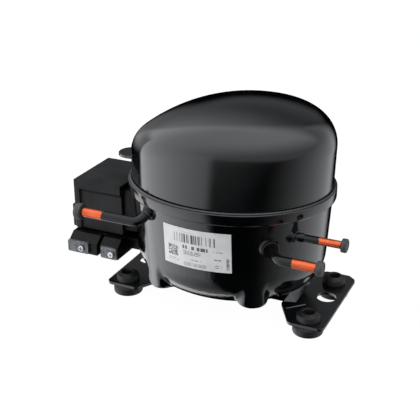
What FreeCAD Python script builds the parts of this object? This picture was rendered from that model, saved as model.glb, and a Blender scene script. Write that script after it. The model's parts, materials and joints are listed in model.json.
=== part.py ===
"""Hermetic reciprocating refrigeration compressor, as a parametric FreeCAD document.

Millimetres, +Z up.  The origin is on the floor, under the middle of the four-grommet bolt
pattern.  X is the shell's long axis and points to the suction and discharge tubes; Y is
across it, and the rating label faces -Y.  The crankshaft stands on the Z axis and the
cylinder lies along +X.  The crank is at its outermost point (piston fully into the bore).
"""
import FreeCAD, Part
import math
import os
import Sketcher
from FreeCAD import Rotation, Vector

DIMENSIONS = {
    # pressure shell
    "shell_wall": 3.0,
    "seam_x": 87.0,
    "seam_y": 76.0,
    "upper_base": 102.5,
    "upper_reach": 200.0,
    "upper_taper_x": 3.6,
    "upper_taper_y": -11.4,
    "crown_radius": 154.7,
    "crown_x": 16.9,
    "crown_top": 182.6,
    "shoulder_round": 28.0,
    "rim_x": 90.1,
    "rim_y": 79.2,
    "rim_base": 100.5,
    "rim_top": 110.4,
    "bowl_foot_x": 82.0,
    "bowl_foot_y": 71.3,
    "bowl_floor": 18.0,
    "bowl_round": 33.0,
    "pocket_x": 41.0,
    "pocket_y": 50.5,
    "pocket_radius": 13.0,
    "pocket_floor": 24.0,
    "pocket_top": 70.0,
    # feet
    "bolt_x": 85.0,
    "bolt_y": 35.0,
    "plate_thick": 2.5,
    "plate_top": 10.7,
    "foot_radius": 13.0,
    "foot_waist": 8.9,
    "foot_cap_radius": 10.25,
    "foot_top": 18.7,
    "foot_bore": 4.75,
    "plate_hole": 8.5,
    "plate_hole_y": 8.0,
    "strap_inner": 34.0,
    "strap_shoulder": 60.0,
    "strap_heel": 66.0,
    "strap_outer": 70.0,
    "strap_front": -27.0,
    "strap_heel_front": -12.0,
    "strap_back": 26.0,
    "rib_x": 61.5,
    "rib_y": -24.5,
    "rib_radius": 1.5,
    "rib_length": 18.0,
    # refrigerant tubes
    "tube_radius": 4.0,
    "thin_tube_radius": 3.15,
    "tube_wall": 0.7,
    "suction_y": -73.0,
    "suction_z": 80.0,
    "suction_end": 101.7,
    "discharge_y": -41.0,
    "discharge_z": 87.0,
    "discharge_end": 111.0,
    "discharge_start": 66.0,
    "discharge_root_radius": 3.75,
    "discharge_root_end": 80.0,
    "process_y": -70.0,
    "process_z": 87.0,
    "process_end": -105.6,
    "plug_depth": 10.0,
    "plug_gap": 0.05,
    "suction_flange": 5.9,
    "discharge_flange": 5.6,
    "process_flange": 6.9,
    # rating label
    "label_left": -28.5,
    "label_right": 30.5,
    "label_foot": 58.0,
    "label_top": 93.0,
    "label_thick": 0.3,
    # electrical box
    "terminal_z": 73.0,
    "terminal_radius": 17.0,
    "pin_radius": 1.5,
    "pin_circle": 7.0,
    "glass_radius": 3.4,
    "cover_left": -141.0,
    "cover_right": -93.0,
    "cover_y": 30.0,
    "cover_floor": 50.0,
    "cover_top": 96.5,
    "cover_wall": 2.5,
    "block_left": -141.0,
    "block_right": -91.0,
    "block_front": -41.5,
    "block_back": -4.0,
    "block_floor": 31.0,
    "block_top": 48.0,
    "clamp_screw_z": 37.0,
    "clamp_screw_radius": 1.5,
    "clamp_thick": 2.5,
    "clamp_floor": 32.0,
    "clamp_top": 43.0,
    "screw_gap": 0.05,
    "screw_head_radius": 2.9,
    "screw_head_height": 1.9,
    "cross_reach": 1.7,
    "cross_half": 0.35,
    "cross_depth": 1.0,
    # motor
    "stack_base": 55.0,
    "stack_top": 93.0,
    "stack_half": 54.0,
    "stack_radius": 70.0,
    "stack_bore": 30.5,
    "slot_circle": 41.0,
    "slot_radius": 3.2,
    "coil_inner": 34.0,
    "coil_outer": 48.0,
    "coil_height": 13.0,
    "rotor_radius": 30.0,
    "cage_circle": 25.5,
    "cage_bar": 1.6,
    "cage_ring": 5.0,
    # pump frame
    "bolt_ring_x": 41.0,
    "bolt_ring_y": 50.0,
    "stack_screw": 2.4,
    "frame_base": 108.0,
    "frame_thick": 6.0,
    "frame_half_x": 49.0,
    "frame_half_y": 58.0,
    "bearing_radius": 13.0,
    "bearing_floor": 96.0,
    "bearing_top": 116.0,
    "barrel_start": 22.0,
    "barrel_end": 52.5,
    "barrel_half": 20.0,
    "cylinder_z": 134.0,
    "bore_radius": 12.5,
    # crank drive
    "shaft_radius": 8.0,
    "shaft_foot": 40.0,
    "running_gap": 0.05,
    "throw": 8.0,
    "crank_pin": 5.0,
    "crank_pin_top": 141.0,
    "web_base": 117.0,
    "web_thick": 4.0,
    "counterweight_radius": 20.0,
    "yoke_radius": 12.0,
    "yoke_bore": 9.5,
    "yoke_half": 20.0,
    "yoke_slot": 11.5,
    "yoke_slot_length": 28.0,
    "slider_half": 10.0,
    "piston_start": 17.0,
    "piston_crown": 52.0,
    "oil_bore": 5.0,
    "gallery_bore": 2.0,
    # valves and head
    "gasket": 0.6,
    "reed": 0.3,
    "valve_plate": 3.0,
    "port_y": 5.5,
    "port_radius": 2.4,
    "reed_width": 8.0,
    "head_thick": 13.0,
    "head_bolt": 2.0,
    "head_bolt_pitch": 15.5,
    "head_port_x": 63.5,
    # springs
    "spring_radius": 5.5,
    "spring_wire": 0.8,
    "spring_foot": 29.0,
    "spring_top": 47.0,
    "seat_radius": 7.0,
    "seat_stub": 4.0,
}

doc = FreeCAD.newDocument("hermetic_compressor")
NODES = []


class Size:
    """A length that keeps its number together with the sheet expression it comes from."""

    def __init__(self, number, text):
        self.number = number
        self.text = text

    def __add__(self, other):
        other = as_size(other)
        return Size(self.number + other.number, f"({self.text} + {other.text})")

    def __sub__(self, other):
        other = as_size(other)
        return Size(self.number - other.number, f"({self.text} - {other.text})")

    def __mul__(self, factor):
        return Size(self.number * factor, f"({self.text} * {factor})")

    def __neg__(self):
        return self * -1

    __radd__ = __add__
    __rmul__ = __mul__


def as_size(value):
    """Wrap a plain number as a Size; a Size passes through."""
    return value if isinstance(value, Size) else Size(float(value), repr(float(value)))


class Dimensions:
    """The driving dimensions as attributes, backed by the document's spreadsheet."""

    def __init__(self, values):
        self.sheet = doc.addObject("Spreadsheet::Sheet", "dims")
        for row, (alias, value) in enumerate(values.items(), start=1):
            self.sheet.set(f"A{row}", alias)
            self.sheet.set(f"B{row}", str(value))
            self.sheet.setAlias(f"B{row}", alias)
        doc.recompute()

    def __getattr__(self, alias):
        return Size(float(self.sheet.get(alias)), f"dims.{alias}")


D = Dimensions(DIMENSIONS)

AIM = {
    "x": Rotation(Vector(0, 1, 0), 90),
    "-x": Rotation(Vector(0, 1, 0), -90),
    "y": Rotation(Vector(1, 0, 0), -90),
    "z": Rotation(),
}

# Where the bent tubes start inside the wall, and the direction in which each passes through it.
SUCTION_ROOT = (54.4, -52.8, 80.0)
SUCTION_AIM = Rotation(Vector(0, 0, 1), Vector(15.6, -20.2, 0))
PROCESS_ROOT = (-44.5, -61.9, 96.0)
PROCESS_AIM = Rotation(Vector(0, 0, 1), Vector(-8.5, -8.1, -9.0))

CORNERS = [(x_side, y_side) for x_side in (-1, 1) for y_side in (-1, 1)]


# ---------------------------------------------------------------- drawing helpers

def bind(item, **sizes):
    """Bind properties to sheet expressions; a plain number stays a constant expression."""
    for name, value in sizes.items():
        item.setExpression(name, as_size(value).text)
    return item


def put(item, at, turn=None):
    """Turn an object, then bind its position to the sheet."""
    if turn is not None:
        item.Placement.Rotation = turn
    for axis, value in zip("xyz", at):
        item.setExpression(f".Placement.Base.{axis}", as_size(value).text)
    return item


def box(name, low, high):
    """Box between two corners, each given as (x, y, z) sizes."""
    item = doc.addObject("Part::Box", name)
    length, width, height = (as_size(top) - base for base, top in zip(low, high))
    bind(item, Length=length, Width=width, Height=height)
    return put(item, low)


def cylinder(name, radius, length, at, aim="z"):
    """Cylinder from the centre of its first face along one axis."""
    item = doc.addObject("Part::Cylinder", name)
    bind(item, Radius=radius, Height=length)
    return put(item, at, AIM[aim] if isinstance(aim, str) else aim)


def cone(name, first, last, length, at, aim="z"):
    """Cone from one radius to another along one axis."""
    item = doc.addObject("Part::Cone", name)
    bind(item, Radius1=first, Radius2=last, Height=length)
    return put(item, at, AIM[aim] if isinstance(aim, str) else aim)


def ellipse(name, half_x, half_y, height):
    """Horizontal ellipse, the section of both shells."""
    item = doc.addObject("Part::Ellipse", name)
    bind(item, MajorRadius=half_x, MinorRadius=half_y)
    return put(item, (0, 0, height))


def loft(name, sections):
    """Straight-sided solid through closed sections."""
    item = doc.addObject("Part::Loft", name)
    item.Sections = sections
    item.Solid = True
    item.Ruled = True
    return item


def fuse(name, *shapes):
    item = doc.addObject("Part::MultiFuse", name)
    item.Shapes = list(shapes)
    item.Refine = True
    return item


def common(name, *shapes):
    item = doc.addObject("Part::MultiCommon", name)
    item.Shapes = list(shapes)
    return item


def cut(name, base, *tools):
    """Subtract tools one after another."""
    for tool in tools:
        item = doc.addObject("Part::Cut", name)
        item.Base = base
        item.Tool = tool
        base = item
    return base


def group(name, shapes):
    """Several separate solids as one node."""
    item = doc.addObject("Part::Compound", name)
    item.Links = list(shapes)
    return item


def fillet(name, base, radius, pick):
    """Round the edges that pick accepts."""
    base.recompute(True)
    radius = as_size(radius).number
    item = doc.addObject("Part::Fillet", name)
    item.Base = base
    item.Edges = [(i, radius, radius) for i, edge in enumerate(base.Shape.Edges, 1) if pick(edge)]
    return item


def spans(edge):
    """Extent of an edge along x, y and z."""
    extent = edge.BoundBox
    return extent.XLength, extent.YLength, extent.ZLength


def upright(edge):
    """True for a straight vertical edge."""
    x_span, y_span, z_span = spans(edge)
    return x_span < 0.01 and y_span < 0.01 and z_span > 0.1


def along_x(edge):
    """True for a straight edge parallel to X."""
    x_span, y_span, z_span = spans(edge)
    return y_span < 0.01 and z_span < 0.01 and x_span > 0.1


def level_at(height):
    """Test for edges that lie in the horizontal plane at a height."""
    height = as_size(height).number

    def is_level(edge):
        extent = edge.BoundBox
        return abs(extent.ZMin - height) < 0.05 and abs(extent.ZMax - height) < 0.05
    return is_level


def along_y(edge):
    """True for a straight edge parallel to Y."""
    x_span, y_span, z_span = spans(edge)
    return x_span < 0.01 and z_span < 0.01 and y_span > 0.1


def tube(name, outer, wall, length, at, aim="z"):
    """Straight hollow cylinder."""
    return cut(name, cylinder(name + "_outside", outer, length, at, aim),
               cylinder(name + "_inside", as_size(outer) - wall, length, at, aim))


def route(name, points, bend):
    """Wire of straight runs joined by tangent arcs of one radius."""
    points = [Vector(*(as_size(value).number for value in point)) for point in points]
    edges = []
    start = points[0]
    for before, corner, after in zip(points, points[1:], points[2:]):
        back = (before - corner).normalize()
        ahead = (after - corner).normalize()
        half = back.getAngle(ahead) / 2
        setback = bend / math.tan(half)
        first = corner + back * setback
        last = corner + ahead * setback
        middle = corner + (back + ahead).normalize() * (bend / math.sin(half) - bend)
        edges.append(Part.LineSegment(start, first).toShape())
        edges.append(Part.Arc(first, middle, last).toShape())
        start = last
    edges.append(Part.LineSegment(start, points[-1]).toShape())
    path = doc.addObject("Part::Feature", name)
    path.Shape = Part.Wire(edges)
    return path, points[0], points[1] - points[0]


def rod(name, radius, path, start, heading):
    """Round bar that follows a route."""
    ring = doc.addObject("Part::Circle", name + "_ring")
    bind(ring, Radius=radius)
    ring.Placement = FreeCAD.Placement(start, Rotation(Vector(0, 0, 1), heading))
    sweep = doc.addObject("Part::Sweep", name)
    sweep.Sections = [ring]
    sweep.Spine = (path, [])
    sweep.Solid = True
    return sweep


def bent_tube(name, radius, wall, points, bend):
    """Hollow tube along straight runs and tangent arcs."""
    path, start, heading = route(name + "_route", points, bend)
    outside = rod(name + "_outside", radius, path, start, heading)
    inside = rod(name + "_inside", as_size(radius) - wall, path, start, heading)
    return cut(name, outside, inside)


# ---------------------------------------------------------------- sketched bodies

def sketch(body, plane="XY_Plane", offset=0):
    """Sketch on one of the body's own origin planes, moved along its normal."""
    profile = body.newObject("Sketcher::SketchObject", body.Name + "_sketch")
    origin_plane = next(item for item in body.Origin.OriginFeatures if item.Role == plane)
    profile.AttachmentSupport = [(origin_plane, "")]
    profile.MapMode = "FlatFace"
    profile.setExpression(".AttachmentOffset.Base.z", as_size(offset).text)
    return profile


def hold(profile, kind, value, *ends):
    """Add one dimension to a sketch and bind it to the sheet."""
    value = as_size(value)
    index = profile.addConstraint(Sketcher.Constraint(kind, *ends, value.number))
    profile.setExpression(f"Constraints[{index}]", value.text)


def circle(profile, radius, x=0, y=0):
    """Circle in a sketch with its centre held from the origin."""
    centre = Vector(as_size(x).number, as_size(y).number, 0)
    index = profile.addGeometry(Part.Circle(centre, Vector(0, 0, 1), as_size(radius).number))
    hold(profile, "Radius", radius, index)
    hold(profile, "DistanceX", x, -1, 1, index, 3)
    hold(profile, "DistanceY", y, -1, 1, index, 3)


def outline(profile, corners):
    """Closed polygon in a sketch with every corner held from the origin."""
    corners = [(as_size(x), as_size(y)) for x, y in corners]
    points = [Vector(x.number, y.number, 0) for x, y in corners]
    sides = [profile.addGeometry(Part.LineSegment(points[i - 1], points[i])) for i in range(len(points))]
    for i, side in enumerate(sides):
        profile.addConstraint(Sketcher.Constraint("Coincident", side, 2, sides[(i + 1) % len(sides)], 1))
        hold(profile, "DistanceX", corners[i][0], -1, 1, side, 2)
        hold(profile, "DistanceY", corners[i][1], -1, 1, side, 2)


def rectangle(profile, left, bottom, right, top):
    """Axis-aligned rectangle in a sketch."""
    outline(profile, [(left, bottom), (right, bottom), (right, top), (left, top)])


def pad(body, profile, length):
    """Pad a sketch along its normal."""
    feature = body.newObject("PartDesign::Pad", body.Name + "_pad")
    feature.Profile = profile
    bind(feature, Length=length)
    return feature


def pocket_through(body, profile):
    """Pocket a sketch through the whole solid, both ways from its plane."""
    feature = body.newObject("PartDesign::Pocket", body.Name + "_pocket")
    feature.Profile = profile
    feature.Type = "ThroughAll"
    feature.Midplane = True
    return feature


def around(body, feature, count):
    """Repeat a feature evenly about the body's Z axis."""
    pattern = body.newObject("PartDesign::PolarPattern", body.Name + "_pattern")
    pattern.Originals = [feature]
    axis = next(item for item in body.Origin.OriginFeatures if item.Role == "Z_Axis")
    pattern.Axis = (axis, [""])
    pattern.Angle = 360
    pattern.Occurrences = count
    body.Tip = pattern
    return pattern


def new_body(name):
    return doc.addObject("PartDesign::Body", name)


def node(name, item):
    """Name a finished piece; its label names its file."""
    item.Label = name
    NODES.append((name, item))
    return item


# ---------------------------------------------------------------- pressure shell

def dome(name, inset):
    """Upper shell's outside, or its cavity when inset by the wall: oval walls under a ball crown."""
    foot = ellipse(name + "_foot", D.seam_x - inset, D.seam_y - inset, D.upper_base)
    reach = ellipse(name + "_reach", D.seam_x + D.upper_taper_x - inset,
                    D.seam_y + D.upper_taper_y - inset, D.upper_reach)
    ball = doc.addObject("Part::Sphere", name + "_ball")
    bind(ball, Radius=D.crown_radius - inset)
    put(ball, (D.crown_x, 0, D.crown_top - D.crown_radius))
    capped = common(name + "_capped", loft(name + "_walls", [foot, reach]), ball)
    wall_top = as_size(D.upper_base).number + 20
    return fillet(name, capped, D.shoulder_round - inset,
                  lambda edge: edge.Length > 50 and edge.BoundBox.ZMin > wall_top)


def bowl(name, inset):
    """Lower shell's outside below the rim, or its cavity: a tapered oval pan with four spring pockets."""
    mouth = ellipse(name + "_mouth", D.seam_x - inset, D.seam_y + 0.5 - inset, D.upper_base)
    foot = ellipse(name + "_foot", D.bowl_foot_x - inset, D.bowl_foot_y - inset, D.bowl_floor + inset)
    walls = loft(name + "_walls", [mouth, foot])
    pan = fillet(name + "_pan", walls, D.bowl_round - inset, level_at(D.bowl_floor + inset))
    pockets = []
    floor = D.pocket_floor + inset
    for x_side, y_side in CORNERS:
        post = cylinder(name + "_post", D.pocket_radius - inset, D.pocket_top - floor,
                        (D.pocket_x * x_side, D.pocket_y * y_side, floor))
        soft = fillet(name + "_soft", post, 5.0 - as_size(inset).number, level_at(floor))
        pockets.append(common(name + "_pocket", soft, walls))
    return fuse(name, pan, *pockets)


def make_shells():
    """Both half shells, the weld between them and the ear on the upper one."""
    dome_outside = dome("dome_outside", 0)
    node("upper_shell", cut("upper_shell", dome_outside, dome("dome_cavity", D.shell_wall)))

    bowl_outside = bowl("bowl_outside", 0)
    rim_foot = ellipse("rim_foot", D.rim_x, D.rim_y, D.rim_base)
    rim_head = ellipse("rim_head", D.rim_x, D.rim_y, D.rim_top)
    rim = fillet("rim_soft", loft("rim", [rim_foot, rim_head]), 2.0, level_at(D.rim_base))
    nest_foot = ellipse("nest_foot", D.seam_x + 0.1, D.seam_y + 0.1, D.upper_base)
    nest_head = ellipse("nest_head", D.seam_x + 0.4, D.seam_y + 0.1, D.rim_top + 1)
    discharge_root = (D.discharge_start - 2, D.discharge_y, D.discharge_z)
    openings = [
        bowl("bowl_cavity", D.shell_wall),
        loft("nest", [nest_foot, nest_head]),
        cylinder("terminal_hole", D.terminal_radius, 16, (-92, 0, D.terminal_z), "x"),
        cylinder("discharge_hole", D.discharge_root_radius, 20, discharge_root, "x"),
        cylinder("suction_hole", D.tube_radius, 12, SUCTION_ROOT, SUCTION_AIM),
        cylinder("process_hole", D.tube_radius, 12, PROCESS_ROOT, PROCESS_AIM),
    ]
    node("lower_shell", cut("lower_shell", fuse("bowl_and_rim", bowl_outside, rim), *openings))

    bead_foot = ellipse("bead_foot", D.seam_x + 2.4, D.seam_y + 2.4, D.rim_top)
    bead_head = ellipse("bead_head", D.seam_x + 1.2, D.seam_y + 1.2, D.rim_top + 1.4)
    node("seam_weld", cut("seam_weld", loft("bead", [bead_foot, bead_head]), dome_outside))

    tab_round = cylinder("tab_round", 12, 2.5, (-95, -2, 117.5))
    tab_root = box("tab_root", (-95, -14, 117.5), (-80, 10, 120))
    tab = fuse("tab", tab_round, tab_root)
    node("shell_ear", cut("shell_ear", tab, dome_outside))
    return bowl_outside


def make_tubes(bowl_outside):
    """Suction, discharge and process tubes with their collars and shipping plugs."""
    suction = [SUCTION_ROOT, (70.0, D.suction_y, D.suction_z), (D.suction_end, D.suction_y, D.suction_z)]
    process = [PROCESS_ROOT, (-53.0, D.process_y, D.process_z), (D.process_end, D.process_y, D.process_z)]
    node("suction_tube", bent_tube("suction_tube", D.tube_radius, D.tube_wall, suction, 10.0))
    node("process_tube", bent_tube("process_tube", D.tube_radius, D.tube_wall, process, 9.0))
    discharge_start = (D.discharge_start, D.discharge_y, D.discharge_z)
    discharge_end = (D.discharge_end, D.discharge_y, D.discharge_z)
    length = D.discharge_end - D.discharge_start
    root = cylinder("discharge_root", D.discharge_root_radius, D.discharge_root_end - D.discharge_start,
                    discharge_start, "x")
    barrel = cylinder("discharge_barrel", D.thin_tube_radius, length, discharge_start, "x")
    bore = cylinder("discharge_way", D.thin_tube_radius - D.tube_wall, length, discharge_start, "x")
    node("discharge_tube", cut("discharge_tube", fuse("discharge_outside", root, barrel), bore))

    collar_start = (D.discharge_start - 1, D.discharge_y, D.discharge_z)
    collars = [
        cut("suction_collar", cone("suction_boss", 9.0, 7.0, 8.6, SUCTION_ROOT, SUCTION_AIM), bowl_outside,
            cylinder("suction_bore", D.tube_radius, 12, SUCTION_ROOT, SUCTION_AIM)),
        cut("discharge_collar", cone("discharge_boss", 6.5, 4.8, 9.5, collar_start, "x"), bowl_outside,
            cylinder("discharge_bore", D.discharge_root_radius, 12, collar_start, "x")),
        cut("process_collar", cone("process_boss", 7.0, 5.2, 6.5, PROCESS_ROOT, PROCESS_AIM), bowl_outside,
            cylinder("process_bore", D.tube_radius, 12, PROCESS_ROOT, PROCESS_AIM)),
    ]
    node("tube_collars", group("tube_collars", collars))

    suction_end = (D.suction_end, D.suction_y, D.suction_z)
    process_end = (D.process_end, D.process_y, D.process_z)
    plug("suction_plug", D.tube_radius, D.suction_flange, 5.0, suction_end, "x")
    plug("discharge_plug", D.thin_tube_radius, D.discharge_flange, 4.5, discharge_end, "x")
    plug("process_plug", D.tube_radius, D.process_flange, 6.2, process_end, "-x")


def plug(name, tube_radius, flange, thick, at, aim):
    """Rubber shipping plug: a flange outside the tube's end and a stem in its bore."""
    back = "-x" if aim == "x" else "x"
    disc = cylinder(name + "_flange", flange, thick, at, aim)
    head = fillet(name + "_head", disc, 1.0, lambda edge: edge.Length > 8)
    stem = cylinder(name + "_stem", tube_radius - D.tube_wall - D.plug_gap, D.plug_depth, at, back)
    node(name, fuse(name, head, stem))


def make_label(bowl_outside):
    """Rating label: a thin sheet that follows the front wall."""
    rise = D.label_thick
    skin_mouth = ellipse("skin_mouth", D.seam_x + rise, D.seam_y + 0.5 + rise, D.upper_base)
    skin_foot = ellipse("skin_foot", D.bowl_foot_x + rise, D.bowl_foot_y + rise, D.bowl_floor)
    sheet = box("label_area", (D.label_left, -90, D.label_foot), (D.label_right, -50, D.label_top))
    skin = common("label_skin", loft("skin", [skin_mouth, skin_foot]), sheet)
    node("rating_label", cut("rating_label", skin, bowl_outside))


# ---------------------------------------------------------------- feet

def make_feet():
    """Two handed mounting plates and their four rubber grommets."""
    for name, side in (("mounting_plate_right", 1), ("mounting_plate_left", -1)):
        body = new_body(name)
        profile = sketch(body, offset=D.plate_top - D.plate_thick)
        corners = [(55, -18), (71, -46), (101, -46), (101, 48), (94, 54), (72, 54), (55, 28)]
        outline(profile, [(x * side, y) for x, y in corners][::side])
        pad(body, profile, D.plate_thick)
        holes = sketch(body, offset=D.plate_top)
        circle(holes, D.foot_waist + 0.1, D.bolt_x * side, D.bolt_y)
        circle(holes, D.foot_waist + 0.1, D.bolt_x * side, -D.bolt_y)
        circle(holes, D.plate_hole, (D.bolt_x + 2) * side, D.plate_hole_y)
        pocket_through(body, holes)
        soft = fillet(name + "_soft", body, 5.0, upright)

        rib_aim = Rotation(Vector(0, 0, 1), Vector(side, 1, 0))
        rib_at = (D.rib_x * side, D.rib_y, D.plate_top - D.rib_radius * 0.5)
        rib = cylinder(name + "_rib", D.rib_radius, D.rib_length, rib_at, rib_aim)
        node(name, fuse(name, soft, plate_strap(name + "_strap", side), rib))

    feet = []
    for x_side, y_side in CORNERS:
        feet.append(grommet((D.bolt_x * x_side, D.bolt_y * y_side)))
    node("mounting_grommets", group("mounting_grommets", feet))


def plate_strap(name, side):
    """Bent strap from the plate up to the shell's floor, with its front corner cut on a slant."""
    strap = new_body(name)
    bend = sketch(strap, "XZ_Plane", -D.strap_back)
    low = D.plate_top - D.plate_thick
    top = D.bowl_floor
    under = top - D.plate_thick
    steps = [(D.strap_outer, low), (D.strap_outer, D.plate_top), (D.strap_heel, D.plate_top),
             (D.strap_shoulder, top), (D.strap_inner, top), (D.strap_inner, under),
             (D.strap_shoulder - 1, under), (D.strap_heel - 1, low)]
    outline(bend, [(x * side, z) for x, z in steps][::side])
    pad(strap, bend, D.strap_back - D.strap_front)

    slant = new_body(name + "_slant")
    wedge = sketch(slant, "YZ_Plane", D.strap_inner * side)
    front = D.strap_front - 1
    outline(wedge, [(front, low - 1), (D.strap_heel_front, low - 1), (D.strap_heel_front, D.plate_top),
                    (D.strap_front, top), (front, top)])
    pad(slant, wedge, 40).Reversed = side < 0
    return cut(name + "_shaped", strap, slant)


def grommet(centre):
    """Rubber foot that grips the plate in a waist, with a through bore for its bolt."""
    x, y = centre
    waist = D.plate_top - D.plate_thick
    foot = fillet("grommet_foot", cylinder("grommet_base", D.foot_radius, waist, (x, y, 0)), 1.2,
                  lambda edge: edge.Length > 20)
    neck = cylinder("grommet_neck", D.foot_waist, D.plate_thick, (x, y, waist))
    crown = cylinder("grommet_crown", D.foot_cap_radius, D.foot_top - D.plate_top, (x, y, D.plate_top))
    cap = fillet("grommet_cap", crown, 1.8, level_at(D.foot_top))
    bore = cylinder("grommet_bore", D.foot_bore, D.foot_top, (x, y, 0))
    return cut("grommet", fuse("grommet_body", foot, neck, cap), bore)


# ---------------------------------------------------------------- electrical box

def pin_centres():
    """The three terminal pins' centres as (y, z), evenly spaced about the terminal's axis."""
    turns = [math.radians(degrees) for degrees in (0, 120, 240)]
    return [(D.pin_circle * math.sin(turn), D.terminal_z + D.pin_circle * math.cos(turn)) for turn in turns]


def make_terminals(bowl_outside):
    """Glass-sealed terminal in the shell wall, what plugs onto it, and the cover over it."""
    centre = (0, D.terminal_z)
    pins = pin_centres()
    header = cylinder("header_disc", D.terminal_radius, 5, (-86, *centre), "x")
    beads = []
    posts = []
    for y, z in pins:
        bead_at = (-87, y, z)
        header = cut("header", header, cylinder("bead_hole", D.glass_radius, 8, bead_at, "x"))
        beads.append(tube("bead", D.glass_radius, D.glass_radius - D.pin_radius, 7, bead_at, "x"))
        posts.append(cylinder("post", D.pin_radius, 30, (-103, y, z), "x"))
    node("terminal_header", header)
    node("terminal_glass_seals", group("terminal_glass_seals", beads))
    node("terminal_pins", group("terminal_pins", posts))

    frame = cut("fence_frame", box("fence_outside", (-99, -24.8, 54), (-80, 24.8, 92)),
                box("fence_inside", (-100, -23.3, 55.5), (-70, 23.3, 90.5)))
    node("terminal_fence", cut("terminal_fence", frame, bowl_outside))

    relay = box("relay_case", (-126, -23, 58), (-100, 4, 88))
    for y, z in pins:
        relay = cut("relay_cut", relay, cylinder("socket", D.pin_radius + 0.1, 5, (-103.5, y, z), "x"))
    node("starting_relay", fillet("starting_relay", relay, 1.5, along_x))
    protector = cylinder("protector_can", 8.5, 18, (-118, 17, D.terminal_z), "x")
    node("overload_protector", fillet("overload_protector", protector, 1.5, lambda edge: edge.Length > 20))
    make_cover()
    make_terminal_block(bowl_outside)


def make_cover():
    """Plastic cover: a box open towards the shell, with a stepped front panel and a side ledge."""
    left = D.cover_left
    outer = box("cover_outside", (left, -D.cover_y, D.cover_floor), (D.cover_right, D.cover_y, D.cover_top))
    ledge = box("cover_ledge", (left - 4, -28, D.cover_floor), (left + 2, 22, D.cover_floor + 20))
    ledge_soft = fillet("ledge_soft", ledge, 2.5, upright)
    left_face = (left + 1).number
    shell = fillet("cover_soft", outer, 2.0, lambda edge: edge.BoundBox.XMax < left_face)
    wall = D.cover_wall
    hollow = box("cover_hollow", (left + wall, -D.cover_y + wall + 2, D.cover_floor + wall),
                 (D.cover_right + 1, D.cover_y - wall, D.cover_top - wall))
    panel = new_body("cover_panel")
    profile = sketch(panel, "YZ_Plane", left + 6)
    face = -D.cover_y
    below = D.cover_floor - 1
    border = D.cover_top - 8
    outline(profile, [(face - 1, below), (face + 2, below), (face + 2, border - 3), (face, border),
                      (face - 1, border)])
    pad(panel, profile, 60)
    recess = fillet("panel_soft", panel, 1.4, upright)
    node("electrical_cover", cut("electrical_cover", fuse("cover_body", shell, ledge_soft), hollow, recess))


def make_terminal_block(bowl_outside):
    """Terminal block under the cover with its bracket, two wire clamps and their screws."""
    block = box("block_case", (D.block_left, D.block_front, D.block_floor),
                (D.block_right, D.block_back, D.block_top))
    slope = new_body("block_slope")
    profile = sketch(slope, "YZ_Plane", D.block_left - 1)
    front = D.block_front
    outline(profile, [(front - 1, D.block_top - 6), (front, D.block_top - 6), (front + 9, D.block_top + 1),
                      (front - 1, D.block_top + 1)])
    pad(slope, profile, 60)
    gap = box("block_gap", (-112, front - 1, D.block_floor - 1), (-109, front + 12, D.block_top + 1))
    block = cut("block_shaped", block, slope, gap)
    hole_radius = D.clamp_screw_radius + D.screw_gap
    jaw_front = front - D.clamp_thick
    for name, left, right, screw_x in (("left", -141, -120, -126.5), ("right", -106.7, -91, -96)):
        thread = cylinder("block_thread", hole_radius, 12, (screw_x, front, D.clamp_screw_z), "y")
        block = cut("block_threaded", block, thread)
        jaw = box("jaw", (left, jaw_front, D.clamp_floor), (right, front, D.clamp_top))
        jaw = fillet("jaw_soft", jaw, 1.2, along_y)
        hole = cylinder("jaw_hole", hole_radius, 4, (screw_x, jaw_front - 0.5, D.clamp_screw_z), "y")
        node(f"wire_clamp_{name}", cut(f"wire_clamp_{name}", jaw, hole))
        node(f"clamp_screw_{name}", clamp_screw(f"clamp_screw_{name}", screw_x))
    node("terminal_block", block)
    strap = box("bracket_strap", (D.block_right, -24, 36), (-70, -8, 46))
    node("block_bracket", cut("block_bracket", strap, bowl_outside))


def clamp_screw(name, x):
    """Cross-recessed pan-head screw that enters the block along +Y."""
    seat = D.block_front - D.clamp_thick
    face = seat - D.screw_head_height
    head = cylinder(name + "_pan", D.screw_head_radius, D.screw_head_height, (x, face, D.clamp_screw_z), "y")
    rim = (face + 0.1).number
    soft = fillet(name + "_soft", head, 0.7, lambda edge: edge.BoundBox.YMax < rim and edge.Length > 8)
    shank = cylinder(name + "_shank", D.clamp_screw_radius, 12, (x, seat, D.clamp_screw_z), "y")
    bars = []
    for reach, half in ((D.cross_reach, D.cross_half), (D.cross_half, D.cross_reach)):
        low = (-reach + x, face - 1, D.clamp_screw_z - half)
        high = (reach + x, face + D.cross_depth, D.clamp_screw_z + half)
        bars.append(box(name + "_bar", low, high))
    return cut(name, fuse(name + "_body", soft, shank), fuse(name + "_recess", *bars))


# ---------------------------------------------------------------- motor

def four_posts(name, radius, height, base):
    """Four upright cylinders at the stator screws' positions."""
    return [cylinder(name, radius, height, (D.bolt_ring_x * x_side, D.bolt_ring_y * y_side, base))
            for x_side, y_side in CORNERS]


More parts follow.
